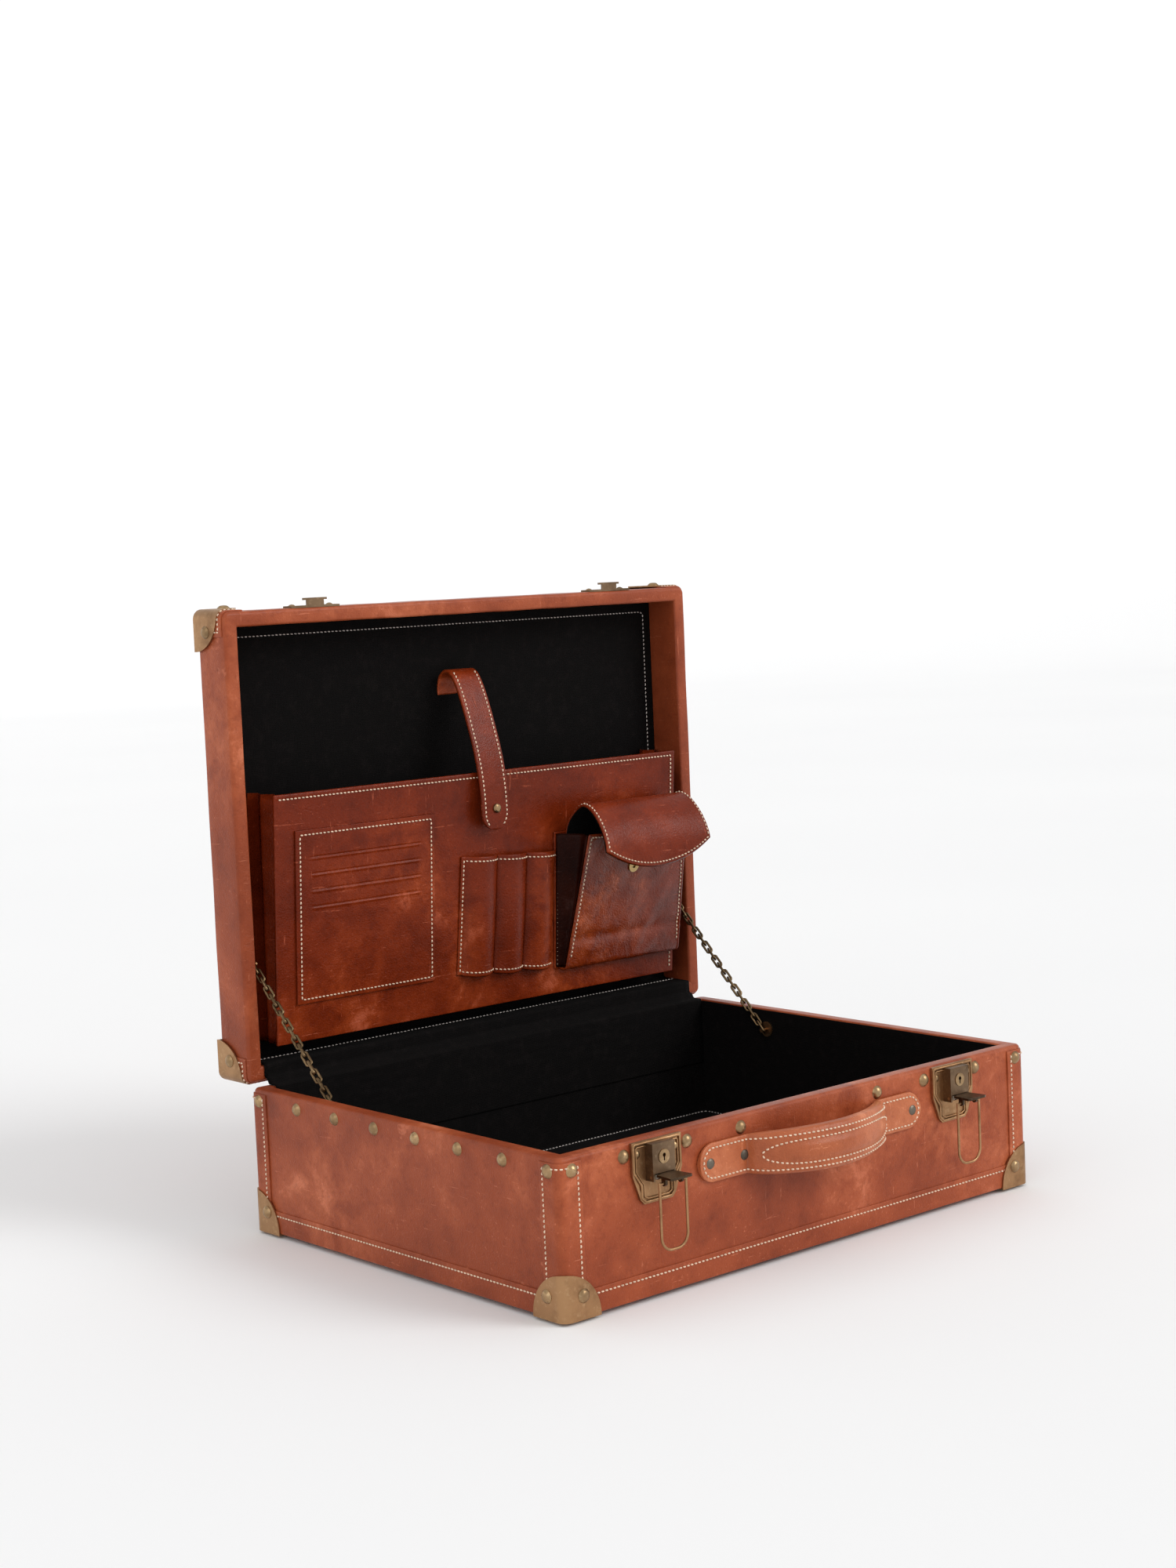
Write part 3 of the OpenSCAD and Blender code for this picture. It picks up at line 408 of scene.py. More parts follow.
def leather(name, dark, mid, light, rough=0.42, wear=1.0, gloss=0.2, crease=1.0):
    """Waxed pull-up leather: cloudy colour, pale scuffs and scratches, fine grain and creases."""
    f = Finish(name, roughness=rough, Specular_IOR_Level=gloss)
    broad = f.noise(8.0, 3, 0.5, 0.2)
    cloud = f.noise(34.0, 7, 0.68, 0.25)
    speck = f.noise(240.0, 3, 0.6)
    long_way = f.noise(30.0, 4, 0.6, 0.3, f.stretched((1.0, 1.0, 14.0), (0.5, 0.3, 0.2)))
    cross_way = f.noise(26.0, 4, 0.6, 0.3, f.stretched((12.0, 1.0, 1.2), (0.2, -0.5, 0.7)))
    tone = f.mix(cloud.above(0.18, 0.62) * 0.6 + broad.above(0.3, 0.6) * 0.4, dark, mid)
    tone = f.mix(broad.above(0.44, 0.78) * cloud.above(0.36, 0.66) * 0.85, tone, light)
    scuff = cloud.above(0.56, 0.68) * broad.above(0.48, 0.62) * 0.35 * wear
    scratch = long_way.above(0.66, 0.70) + cross_way.above(0.67, 0.71)
    scratch = scratch * speck.above(0.35, 0.6) * 0.35 * wear
    pale = tuple(min(1.0, c * 1.35 + 0.05) for c in light)
    tone = f.mix(scuff, tone, pale)
    tone = f.mix(scratch, tone, pale)
    tone = f.mix(speck.above(0.52, 0.75) * 0.32, tone, dark)
    tone = f.mix(f.noise(420.0, 4, 0.7).above(0.60, 0.72) * cloud.above(0.4, 0.6) * 0.4 * wear, tone, pale)
    f.to("Base Color", tone)
    f.to("Roughness", rough + cloud * 0.16 + scratch * 0.2 - 0.08)
    grain = f.cells(820.0, "F1") * 0.30 + f.noise(1500.0, 2, 0.6) * 0.12
    fold = f.noise(55.0, 8, 0.66, 1.6) * 0.9 * crease
    vein = f.cells(95.0, at=f.stretched((1.0, 1.0, 1.5))).above(0.0, 0.05)
    vein = (1 - vein) * -0.25 * cloud.above(0.45, 0.7)
    f.bump(grain + fold + vein + scratch * -0.3, 0.00042)
    return f.material


def metal(name, deep, face, bright, rough=0.34, pits=1.0):
    """Aged metal: dark patina in soft clouds, brighter rubbed places, small pits."""
    f = Finish(name, metallic=1.0, roughness=rough)
    cloud = f.noise(38.0, 5, 0.6, 0.2)
    fine = f.noise(300.0, 4, 0.6)
    tone = f.mix(cloud.above(0.22, 0.62), deep, face)
    tone = f.mix(fine.above(0.50, 0.85) * 0.4, tone, bright)
    f.to("Base Color", tone)
    f.to("Roughness", rough + (1 - cloud.above(0.3, 0.65)) * 0.16 + fine * 0.06)
    f.bump(fine * 0.4 * pits + f.noise(1500.0, 2) * 0.2 * pits, 0.00003)
    return f.material


def cloth(name, dark, light, scale=1500.0):
    """Close woven lining: two crossing sets of ribs, a little lint and fading."""
    f = Finish(name, roughness=0.95, Specular_IOR_Level=0.12)
    ribs = [f.add("ShaderNodeTexWave", {"bands_direction": way}, {"Vector": f.at, "Scale": scale / 6.3,
                  "Distortion": 0.6, "Detail": 1.0}, "Fac") for way in ("X", "Z")]
    lint = f.noise(130.0, 5, 0.65)
    f.to("Base Color", f.mix(lint.above(0.45, 0.75), dark, light))
    f.to("Roughness", 0.9 + lint * 0.1)
    f.bump(ribs[0] * 0.4 + ribs[1] * 0.4 + f.noise(45.0, 4, 0.6, 0.8) * 1.2, 0.00022)
    return f.material


def sewing_thread(name, colour):
    """Waxed thread: fine twist and slight soiling."""
    f = Finish(name, roughness=0.75)
    soil = f.noise(300.0, 3, 0.6)
    f.to("Base Color", f.mix(soil.above(0.4, 0.75), colour, tuple(c * 0.62 for c in colour)))
    twist = f.add("ShaderNodeTexWave", {"bands_direction": "DIAGONAL"}, {"Vector": f.at, "Scale": 700.0},
                  "Fac")
    f.bump(twist, 0.00012)
    return f.material


def board(name):
    """Pale millboard with a faint fibre."""
    f = Finish(name, roughness=0.8)
    fibre = f.noise(40.0, 5, 0.6, 0.4, f.stretched((1.0, 8.0, 8.0)))
    f.to("Base Color", f.mix(fibre, (0.42, 0.30, 0.18), (0.58, 0.44, 0.28)))
    f.bump(fibre, 0.0002)
    return f.material


COGNAC = leather("cognac_leather", (0.150, 0.0245, 0.0085), (0.330, 0.067, 0.0225), (0.520, 0.145, 0.060),
                 0.36)
TRIM = leather("cognac_trim", (0.165, 0.028, 0.0095), (0.345, 0.072, 0.0245), (0.540, 0.155, 0.066),
               0.36, 1.2)
HANDLE = leather("handle_leather", (0.250, 0.054, 0.017), (0.455, 0.122, 0.044), (0.640, 0.235, 0.105),
                 0.32, 1.3, 0.3)
TAN = leather("waxed_leather", (0.070, 0.0070, 0.0014), (0.190, 0.0215, 0.0037), (0.400, 0.066, 0.0130),
              0.28, 1.2, 0.16)
CREASED = leather("creased_leather", (0.070, 0.0070, 0.0014), (0.190, 0.0215, 0.0037), (0.430, 0.080, 0.0170),
                  0.20, 1.6, 0.42, 2.4)
# Painted shade: the organiser's tan leather darkened about tenfold, for the flap pocket's sides that fold inwards
# into shade.
SHADED_SIDE_LEATHER = leather("painted_shade_leather", (0.007, 0.0012, 0.0006), (0.020, 0.0030, 0.0012), (0.045, 0.0075, 0.0026),
               0.4, gloss=0.08)
BLACK = cloth("black_lining", (0.0022, 0.0016, 0.0015), (0.0052, 0.0038, 0.0036))
THREAD = sewing_thread("cream_thread", (0.90, 0.68, 0.50))
PALE_THREAD = sewing_thread("pale_thread", (0.62, 0.56, 0.52))
BRASS = metal("antique_brass", (0.220, 0.118, 0.056), (0.430, 0.245, 0.120), (0.760, 0.540, 0.310), 0.33, 0.4)
STUD = metal("brass_stud", (0.130, 0.080, 0.040), (0.400, 0.260, 0.135), (0.820, 0.620, 0.380), 0.24, 0.3)
CHAIN = metal("aged_chain", (0.060, 0.036, 0.018), (0.200, 0.130, 0.066), (0.600, 0.430, 0.240), 0.26, 0.4)
BRIGHT = metal("bright_brass", (0.26, 0.17, 0.07), (0.52, 0.37, 0.17), (0.75, 0.58, 0.32), 0.24, 0.4)
BRONZE = metal("lock_bronze", (0.080, 0.049, 0.028), (0.210, 0.135, 0.080), (0.480, 0.350, 0.220), 0.32, 0.4)
LEVER = metal("dark_bronze", (0.026, 0.017, 0.011), (0.075, 0.050, 0.031), (0.26, 0.19, 0.13), 0.3, 0.4)
STEEL = metal("spring_steel", (0.10, 0.085, 0.065), (0.24, 0.20, 0.155), (0.45, 0.40, 0.33), 0.3)
GREY_RIVET = metal("dulled_rivet", (0.070, 0.058, 0.046), (0.17, 0.145, 0.115), (0.34, 0.30, 0.25), 0.4)
BOARD = board("millboard")

BY_SLOT = {"leather_cognac": COGNAC, "leather_trim": TRIM, "leather_organiser": TAN, "lining_black": BLACK,
           "wood": BOARD, "antique_brass": BRASS, "bright_brass": BRIGHT, "dark_bronze": BRONZE,
           "spring_steel": STEEL}
for sub in frame["record"]["subparts"]:
    node = frame["nodes"][sub["node"]]
    finish = BY_SLOT[sub["material_slot"]]
    if sub["node"] == "handle_rivets":
        finish = GREY_RIVET
    elif sub["node"].endswith(("rivets", "studs")):
        finish = STUD
    elif sub["node"].endswith("lever"):
        finish = LEVER
    elif sub["node"].endswith("lock_cylinder"):
        finish = STUD
    elif sub["node"].startswith("catch_plates"):
        finish = BRONZE
    node.data.materials.clear()
    node.data.materials.append(finish)


# ---------------------------------------------------------------- stitches
def seam(name, runs, body, slot, material=None, radius=THREAD_R):
    """Sewn stitches along runs of (points, outward directions): small barrels, a pitch apart, each
    three rings of six points between two end points, sunk at its ends and turned a little."""
    sides = 6
    turn, j = turns(sides), np.arange(sides)
    along = np.array([-1.0, -0.72, 0.0, 0.72, 1.0])
    fat = np.array([0.0, 0.8, 1.0, 0.8, 0.0])
    last_ring, tip = 2 * sides, 3 * sides
    tube = quads(3, sides, loop_cols=True)
    first = np.stack([np.full(sides, tip), (j + 1) % sides, j], 1)
    last = np.stack([np.full(sides, tip + 1), last_ring + j, last_ring + (j + 1) % sides], 1)
    all_points, all_faces, count = [], [], 0
    for points, normals in runs:
        points = np.asarray(points, float)
        normals = np.broadcast_to(np.asarray(normals, float), points.shape)
        run = distance_along(points)
        k = max(2, int(round(run[-1] / PITCH)))
        mids = (np.arange(k) + 0.5) * run[-1] / k
        at = [np.stack([np.interp(mids + d, run, points[:, i]) for i in range(3)], 1) for d in (0, -1, 1)]
        up = np.stack([np.interp(mids, run, normals[:, i]) for i in range(3)], 1)
        way = unit(at[2] - at[1])
        up = unit(up - way * (up * way).sum(1)[:, None])
        side = np.cross(way, up)
        tilt = unit(way + side * 0.10)
        spine = at[0][:, None] + tilt[:, None] * (along * STITCH / 2)[None, :, None]
        spine += up[:, None] * (radius * (1 - 0.9 * along ** 2) - 0.2)[None, :, None]
        rim = (np.cos(turn)[None, None, :, None] * side[:, None, None]
               + np.sin(turn)[None, None, :, None] * up[:, None, None]) * (fat * radius)[None, :, None, None]
        rings = spine[:, 1:-1, None] + rim[:, 1:-1]
        all_points.append(np.concatenate([rings.reshape(k, -1, 3), spine[:, [0, -1]]], axis=1).reshape(-1, 3))
        base = count + np.arange(k)[:, None, None] * (tip + 2)
        all_faces += [(tube[None] + base).reshape(-1, 4), (first[None] + base).reshape(-1, 3),
                      (last[None] + base).reshape(-1, 3)]
        count += k * (tip + 2)
    return make(name, np.concatenate(all_points), all_faces, body, slot, material or THREAD)


def on_skin(skin, normals, rows, cols, lift):
    """A run for a seam along part of a grid of points, lifted off it."""
    return skin[rows, cols] + normals[rows, cols] * lift, normals[rows, cols]


# ---------------------------------------------------------------- covers, band, lining
def leather_covers():
    """Base and lid covers: outer wall, rolled rim, and the turned-in inner edge."""
    deep = BASE_DEEP
    shape = [(24, deep), (0, deep), (0, 0), (WALL, 0), (WALL, 3), (LEATHER, 3), (LEATHER, deep - LEATHER),
             (24, deep - LEATHER)]
    radii = [0, 3.0, 2.6, 1.8, 0.4, 0.4, 1.5, 0]
    cover = swept("base_cover", fillet(shape, radii), in_base, "base", "leather_cognac", 0.35)
    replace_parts(cover, "base_leather_cover")
    deep = LID_DEEP
    floor = deep - 4
    shape = [(24, deep), (0, deep), (0, 0), (WALL, 0), (WALL, floor), (WALL - 1.2, floor), (WALL - 1.2, 3),
             (LEATHER, 3), (LEATHER, deep - LEATHER), (24, deep - LEATHER)]
    radii = [0, 3.0, 2.6, 2.0, 0.2, 0.2, 0.4, 0.4, 1.5, 0]
    cover = swept("lid_cover", fillet(shape, radii), in_lid, "lid", "leather_cognac", 0.35)
    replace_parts(cover, "lid_leather_cover")


def bottom_band():
    """A leather strip round the foot of the base, with a rounded upper edge and a row of stitches."""
    low, high = box_mm("base_bottom_band")
    top, foot = RIM_Z - high[2], RIM_Z - low[2]
    shape = [(0.3, top), (-1.0, top), (-1.0, foot - 0.4), (0.3, foot)]
    shape = fillet(shape, [0.0, 0.7, 1.5, 0], closed=True)
    band = swept("bottom_band", shape, in_base, "base", "leather_trim", 0.1, looped=True)
    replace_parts(band, "base_bottom_band")
    plan = ring([-1.05], 60)[0]
    line = in_base(np.concatenate([plan, np.full((len(plan), 1), top + 3.2)], axis=1))
    loop = np.concatenate([line, line[:1]])
    off = loop - np.array([0, MID_Y, 0])
    out = np.where(np.abs(off) > np.array([HALF_X, HALF_Y, 1e9]) - 1.5, np.sign(off), 0)
    seam("band_stitches", [(loop, out + 1e-6)], "base", "leather_trim")


def corner_wrap(a, lift, sx, sy):
    """Plan point at arc length a from the middle of a rounded corner, lifted off the wall."""
    half = CORNER * math.pi / 4
    turn = math.pi / 4 + np.clip(a, -half, half) / CORNER
    over = a - np.clip(a, -half, half)
    x = HALF_X - CORNER + (CORNER + lift) * np.cos(turn) - over * np.sin(turn)
    y = HALF_Y - CORNER + (CORNER + lift) * np.sin(turn) + over * np.cos(turn)
    return sx * x, sy * y


def edge_patches():
    """Leather patches round the eight corners, each a slab bent round the corner, and their seams."""
    reach, inset = 17.5 - CORNER + CORNER * math.pi / 4, 3.4
    for part, place in (("base", in_base), ("lid", in_lid)):
        low, high = box_mm(f"{part}_edge_patches")
        near, far = ((RIM_Z - high[2], RIM_Z - low[2]) if part == "base"
                     else (low[1] - LID_RIM_Y, high[1] - LID_RIM_Y))
        top, share = (near + inset - (near + far) / 2) / ((far - near) / 2), 1 - inset / reach
        path = fillet([(-share, 1.0), (-share, top), (share, top), (share, 1.0)], 0.0, longest=0.04)
        runs, pieces = [], []
        for sx, side in SIDES:
            for sy, end in ((-1, "front"), (1, "rear")):
                def lay(u, v, lift, sx=sx, sy=sy):
                    x, y = corner_wrap(u * reach, lift, sx, sy)
                    return place(np.stack([x, y, near + (v + 1) / 2 * (far - near)], axis=-1))
                pieces.append(slab(f"{part}_patch_{side}_{end}", lay, 1.2, part, "leather_trim", 40, 30, 16.0,
                                   under=-0.3))
                pts, above = (lay(path[:, 0], path[:, 1], np.full(len(path), lift)) for lift in (1.15, 2.15))
                runs.append((pts, above - pts))
        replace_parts(pieces[0], f"{part}_edge_patches")
        seam(f"{part}_patch_stitches", runs, part, "leather_trim")


def linings():
    """The black lining of the base's walls and floor, and of the lid's back."""
    low, high = box_mm("base_floor_pad")
    depth = RIM_Z - low[2]
    shape = fillet([(60, depth), (WALL - 0.9, depth), (WALL - 0.9, 1.2), (WALL + 0.5, 1.2),
                    (WALL + 0.5, depth - 0.6), (60, depth - 0.6)], [0, 2, 0.5, 0.5, 3, 0])
    lining = swept("base_lining_cloth", shape, in_base, "base", "lining_black", 0.2)
    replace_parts(lining, "base_lining")
    middle, half = (low + high) / 2, (high - low) / 2

    def lay(u, v, lift):
        sag = ripple(np.stack([u * half[0], v * half[1], 0 * u], -1), 90.0, 0.5, 3)
        sag = sag * (1 - u ** 6) * (1 - v ** 6) * (lift > 1)
        return np.stack([u * half[0], middle[1] + v * half[1], low[2] + lift + sag], axis=-1)

    pad = slab("floor_pad", lay, high[2] - low[2], "base", "lining_black", 60, 48, 26.0)
    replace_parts(pad, "base_floor_pad")
    share = 1 - 7.0 / half[:2]
    loop = rounded_loop(share[0], share[1], 0.03, longest=0.04)
    run = lay(loop[:, 0], loop[:, 1], np.full(len(loop), high[2] - low[2] + 0.1))
    seam("floor_pad_stitches", [(run, (0, 0, 1))], "base", "lining_black", PALE_THREAD, radius=0.4)

    low, high = box_mm("lid_lining")
    middle, half = (low + high) / 2, (high - low) / 2

    def back(u, v, lift):
        wave = ripple(np.stack([u * half[0], v * half[2], 0 * u], -1), 120.0, 0.5, 5)
        wave = wave * (1 - u ** 8) * (1 - v ** 8) * (lift > 0.4)
        return np.stack([u * half[0], high[1] - lift + wave, middle[2] + v * half[2]], axis=-1)

    cloth_back = slab("lid_lining_cloth", back, 1.2, "lid", "lining_black", 60, 48, 30.0)
    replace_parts(cloth_back, "lid_lining")
    a, b = 1 - 8.0 / half[[0, 2]]
    path = fillet([(-a, -b), (-a, b), (a, b), (a, -b)], 0.02, longest=0.05)
    seam("lid_lining_stitches", [(back(path[:, 0], path[:, 1], np.full(len(path), 1.25)), (0, -1, 0))],
         "lid", "lining_black", PALE_THREAD, radius=0.45)


def hinge_strip():
    """The lining strip that crosses from the base's rear wall over both rims and up the lid's back."""
    inner = BASE_HI[1] - WALL
    foot = LID_LO[2] + WALL
    back = box_mm("lid_lining")[0][1]
    over = box_mm("hinge_pin")[1][2] + 1.9
    path = [(inner - 1.0, RIM_Z - 52), (inner - 1.0, RIM_Z + 0.55), (LID_RIM_Y - 5.5, RIM_Z + 0.55),
            (LID_RIM_Y - 3.6, over), (LID_RIM_Y - 0.5, over + 1.2), (LID_RIM_Y - 0.4, foot + 0.8),
            (back - 0.5, foot + 0.8), (back - 0.5, foot + 11)]
    rows, cols = 120, 64
    line = resampled(fillet(path, [0, 1.2, 1.0, 1.2, 1.2, 1.5, 3.0, 0], steps=6, longest=1.6), rows)
    x = np.broadcast_to(even(cols, 0.3) * (HALF_X - WALL - 1.2), (rows, cols))
    skin = np.stack(np.broadcast_arrays(x, line[:, :1], line[:, 1:]), axis=-1).copy()
    run = np.linspace(0, 1, rows)[:, None]
    crease = np.abs(ripple(skin * [0.16, 1, 1], 9.0, 0.75, 11))
    crease = crease * np.sin(math.pi * np.clip(run * 1.1 - 0.05, 0, 1)) ** 0.5
    skin[..., 1] -= crease * 0.9
    skin[..., 2] += crease * (run < 0.86) * 0.6
    strip = thick("hinge_lining_strip", skin, 0.5, None, "lining_black")
    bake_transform(strip)
    2 * (HALF_X - WALL - 1.2) * MM
    x = np.linspace(-HALF_X + WALL + 4, HALF_X - WALL - 4, 60)
    run = np.stack([x, 0 * x + LID_RIM_Y + 15, 0 * x + foot + 1.05], 1)
    seam("hinge_lining_stitches", [(run, (0, 0, 1))], "lid", "lining_black", PALE_THREAD, radius=0.5)


# ---------------------------------------------------------------- handle
def handle():
    """The carrying handle: flat sewn tabs that swell into a bowed grip, its section a rounded box
    (powers of sine and cosine) along a bowed middle line, with a raised rib sewn down its length."""
    low, high = box_mm("handle_grip")
    centre_z = (low[2] + high[2]) / 2
    length, grip, rib_end, tab_half, tab_t = high[0] - low[0], 62.0, 56.0, 12.8, 3.5
    reach = FRONT_Y - low[1] - 6.0
    rows, cols = 150, 60
    x = even(rows, 0.75) * length / 2
    rise = np.where(np.abs(x) < grip, np.cos(np.clip(np.abs(x) / grip, 0, 1) * math.pi / 2) ** 0.72, 0)
    centre = tab_t / 2 + 0.1 + (reach - tab_t / 2) * rise
    fat = tab_t / 2 + (5.6 - tab_t / 2) * np.clip(rise * 3.0, 0, 1) ** 0.8
    end = length / 2 - tab_half
    wide = np.where(np.abs(x) > end, np.sqrt((1 - ((np.abs(x) - end) / tab_half) ** 2).clip(0)), 1) * tab_half
    wide = wide * (1 + 0.20 * rise ** 0.8)
    way = unit(np.stack([np.gradient(x), np.gradient(centre)], axis=1))
    out = np.stack([-way[:, 1], way[:, 0]], axis=1)
    c, s = np.cos(turns(cols)), np.sin(turns(cols))
    over = np.sign(s) * np.abs(s) ** 0.55
    z = wide[:, None] * (np.sign(c) * np.abs(c) ** 0.72)

    def rib_half(xs):
        return np.clip(1 - (np.abs(xs) / rib_end) ** 5, 0, 1) ** 0.6

    def rib(xs, zs):
        """Height of the rib and of the groove along its border."""
        half = 6.0 * rib_half(xs) + 0.3
        high_up = 1.9 * np.exp(-(zs / half) ** 4) - 0.55 * bead(np.abs(zs) - half, 1.1)
        return high_up * np.clip(1 - (np.abs(xs) / rib_end) ** 4, 0, 1)

    dent = 0.35 * bead(np.abs(x[:, None]) - grip, 1.2)
    lift = fat[:, None] * over + (rib(x[:, None], z) - dent) * (s > 0.2)
    px, po = x[:, None] + out[:, :1] * lift, centre[:, None] + out[:, 1:] * lift
    pts = np.stack([px, FRONT_Y - po, centre_z + z], axis=-1)
    piece = make("carrying_handle", pts, [quads(rows, cols, loop_cols=True), np.arange(cols)[None, ::-1],
                 (rows - 1) * cols + np.arange(cols)[None]], "base", "leather_trim", HANDLE)
    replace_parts(piece, "handle_grip")

    def on_top(xs, zs):
        """Place on the handle's outer side, by its x and its height about the middle."""
        cx, tx, ty, f, w = (np.interp(xs, x, row) for row in (centre, out[:, 0], out[:, 1], fat, wide))
        q = np.clip(np.abs(zs) / w, 0, 0.999)
        high_up = f * (1 - q ** (2 / 0.72)) ** (0.55 / 2) + rib(xs, zs)
        place = np.stack([xs + tx * high_up, FRONT_Y - (cx + ty * high_up), centre_z + zs], axis=1)
        return place, np.stack([tx, -ty, 0 * tx], axis=1)

    border = rounded_loop(length / 2 - 3.0, 9.8, 9.7, steps=14, longest=2.0)
    border[:, 1] *= 1 + 0.20 * np.interp(border[:, 0], x, rise) ** 0.8
    xs = np.linspace(-rib_end, rib_end, 76)
    half = 7.6 * rib_half(xs) + 0.4
    seam("handle_stitches", [on_top(border[:, 0], border[:, 1]), on_top(xs, half), on_top(xs, -half)],
         "base", "leather_trim")


# ---------------------------------------------------------------- organiser in the lid
LEAN = math.atan(12.5 / 181)
POCKET_Y, POCKET_Z = LID_RIM_Y + 2.5, LID_LO[2] + 22
POCKET_HALF, POCKET_H = 193.0, 181.0


def on_pocket(x, out, up):
    """Place at x across, out from the pocket front and up along it, as the pocket leans."""
    y = POCKET_Y - out * math.cos(LEAN) - up * math.sin(LEAN)
    return np.stack(np.broadcast_arrays(x, y, POCKET_Z - out * math.sin(LEAN) + up * math.cos(LEAN)), axis=-1)


OUTWARD = (0, -math.cos(LEAN), -math.sin(LEAN))


def pocket_seam(name, line, radius, out):
    """Stitches along a line of (x, up) on the pocket front, at one height out."""
    path = fillet(line, radius, steps=10, longest=3.0)
    seam(name, [(on_pocket(path[:, 0], out, path[:, 1]), OUTWARD)], "lid", "leather_organiser")


def document_pocket():
    """The wide leather pocket front with its rolled upper edge, and a folded gusset at each end."""
    def front(u, v, lift):
        x, up = u * POCKET_HALF, (v + 1) / 2 * POCKET_H
        roll = 0.5 * bead(POCKET_H - 1.6 - up, 1.3) * (lift > 1)
        wave = ripple(np.stack([x, up, 0 * x], -1), 120.0, 0.9, 21) * (1 - u ** 8) * np.clip(1 - v ** 8, 0, 1)
        return on_pocket(x, lift - 2.2 + roll + wave, up)

    piece = slab("pocket_front", front, 2.2, "lid", "leather_organiser", 70, 56, 26.0)
    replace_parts(piece, "document_pocket")
    pocket_seam("pocket_stitches", [(-190, 177.4), (188.5, 177.4), (188.5, 4)], 1.0, 0.15)
    back = box_mm("lid_lining")[0][1] - 0.3
    t = np.linspace(0, 1, 40)[:, None]
    up = np.linspace(0, POCKET_H, 30)[None]
    start = POCKET_Y - up * math.sin(LEAN) + 0.6
    fold = 5.5 * (1 - np.abs((t * 2) % 1.0 * 2 - 1)) ** 0.85 + 0.6
    for side, word in SIDES:
        skin = np.stack(np.broadcast_arrays(side * (POCKET_HALF - 0.9 - fold), start + t * (back - start),
                                            POCKET_Z + up * math.cos(LEAN)), -1)
        piece = thick(f"pocket_gusset_{word}", skin, 1.2, "lid", "leather_organiser")
        if side < 0:
            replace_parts(piece, "pocket_gussets")


def card_panel():
    """The card panel: a raised sheet with a sewn border and four lipped slits."""
    x0, x1, z0, z1 = -176.5, -52.5, 28.0, 154.0

    def lay(u, v, lift):
        x, up = (x0 + x1) / 2 + u * (x1 - x0) / 2, (z0 + z1) / 2 + v * (z1 - z0) / 2
        belly = 0.7 * (1 - u ** 2) * (1 - v ** 2) * (lift > 0.5)
        inside = np.clip((50 - np.abs(x - (x0 + x1) / 2)) / 3, 0, 1)
        marks = [up - (z1 - 20 - k * 12.0) for k in range(4)]
        lips = sum(inside * (0.55 * bead(mark + 1.1, 0.9) - 0.9 * bead(mark, 0.45)) for mark in marks)
        return on_pocket(x, lift + belly + lips * (lift > 1), up)

    piece = slab("card_panel_leather", lay, 1.9, "lid", "leather_organiser", 70, 300, 34.0, under=0.05)
    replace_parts(piece, "card_panel")
    left, right, foot, top = x0 + 3.3, x1 - 3.3, z0 + 3.3, z1 - 3.3
    border = [(left, top), (right, top), (right, foot), (left, foot), (left, top - 1)]
    pocket_seam("card_panel_stitches", border, 1.5, 2.1)


def pen_loops():
    """Three sewn pen channels side by side: one sheet that arches over each and dips to the seams."""
    lean, wide, tall = math.radians(3.0), 29.0, 91.0

    def turned(x, up, out):
        """Place on the block of channels, which stands a little askew."""
        return on_pocket(-28.5 + x * math.cos(lean) + up * math.sin(lean), out,
                         28.0 - x * math.sin(lean) + up * math.cos(lean))

    def arched(x, up, foot):
        """The channels: |sin|^0.62 across each, fuller at half height, hollowed at the lower edge."""
        arch = np.abs(np.sin(np.clip((x - 1.5) / wide, 0, 3) * math.pi)) ** 0.62
        out = foot + 8.0 * arch * (1 - 0.10 * np.cos(up / tall * math.pi * 2))
        return turned(x, up - 1.2 * arch * np.clip((9 - up) / 9, 0, 1) ** 2, out)

    skin = arched(np.linspace(-3.0, 90.0, 160)[:, None], (even(44, 0.7) + 1) / 2 * tall, 1.1)
    piece = thick("pen_channels", skin, 1.6, "lid", "leather_organiser")
    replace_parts(piece, "pen_loops")
    up = np.linspace(2.5, 88.5, 30)
    runs = [(turned(place, up, 1.95), OUTWARD) for place in (-1.0, 1.5 + wide, 1.5 + 2 * wide, 88.2)]
    x = np.linspace(0.5, 87.0, 90)
    runs += [(arched(x, level, 1.95), OUTWARD) for level in (3.0, 87.5)]
    seam("pen_channel_stitches", runs, "lid", "leather_organiser")


def outward_of(skin):
    """Unit normals of a grid of points, on the side that looks out of the lid."""
    normals = normals_of(skin)
    return normals * (-1 if normals[len(normals) // 2, normals.shape[1] // 2, 1] > 0 else 1)


FLAP_MID = 129.0                                 # middle of the flap pocket, across the case


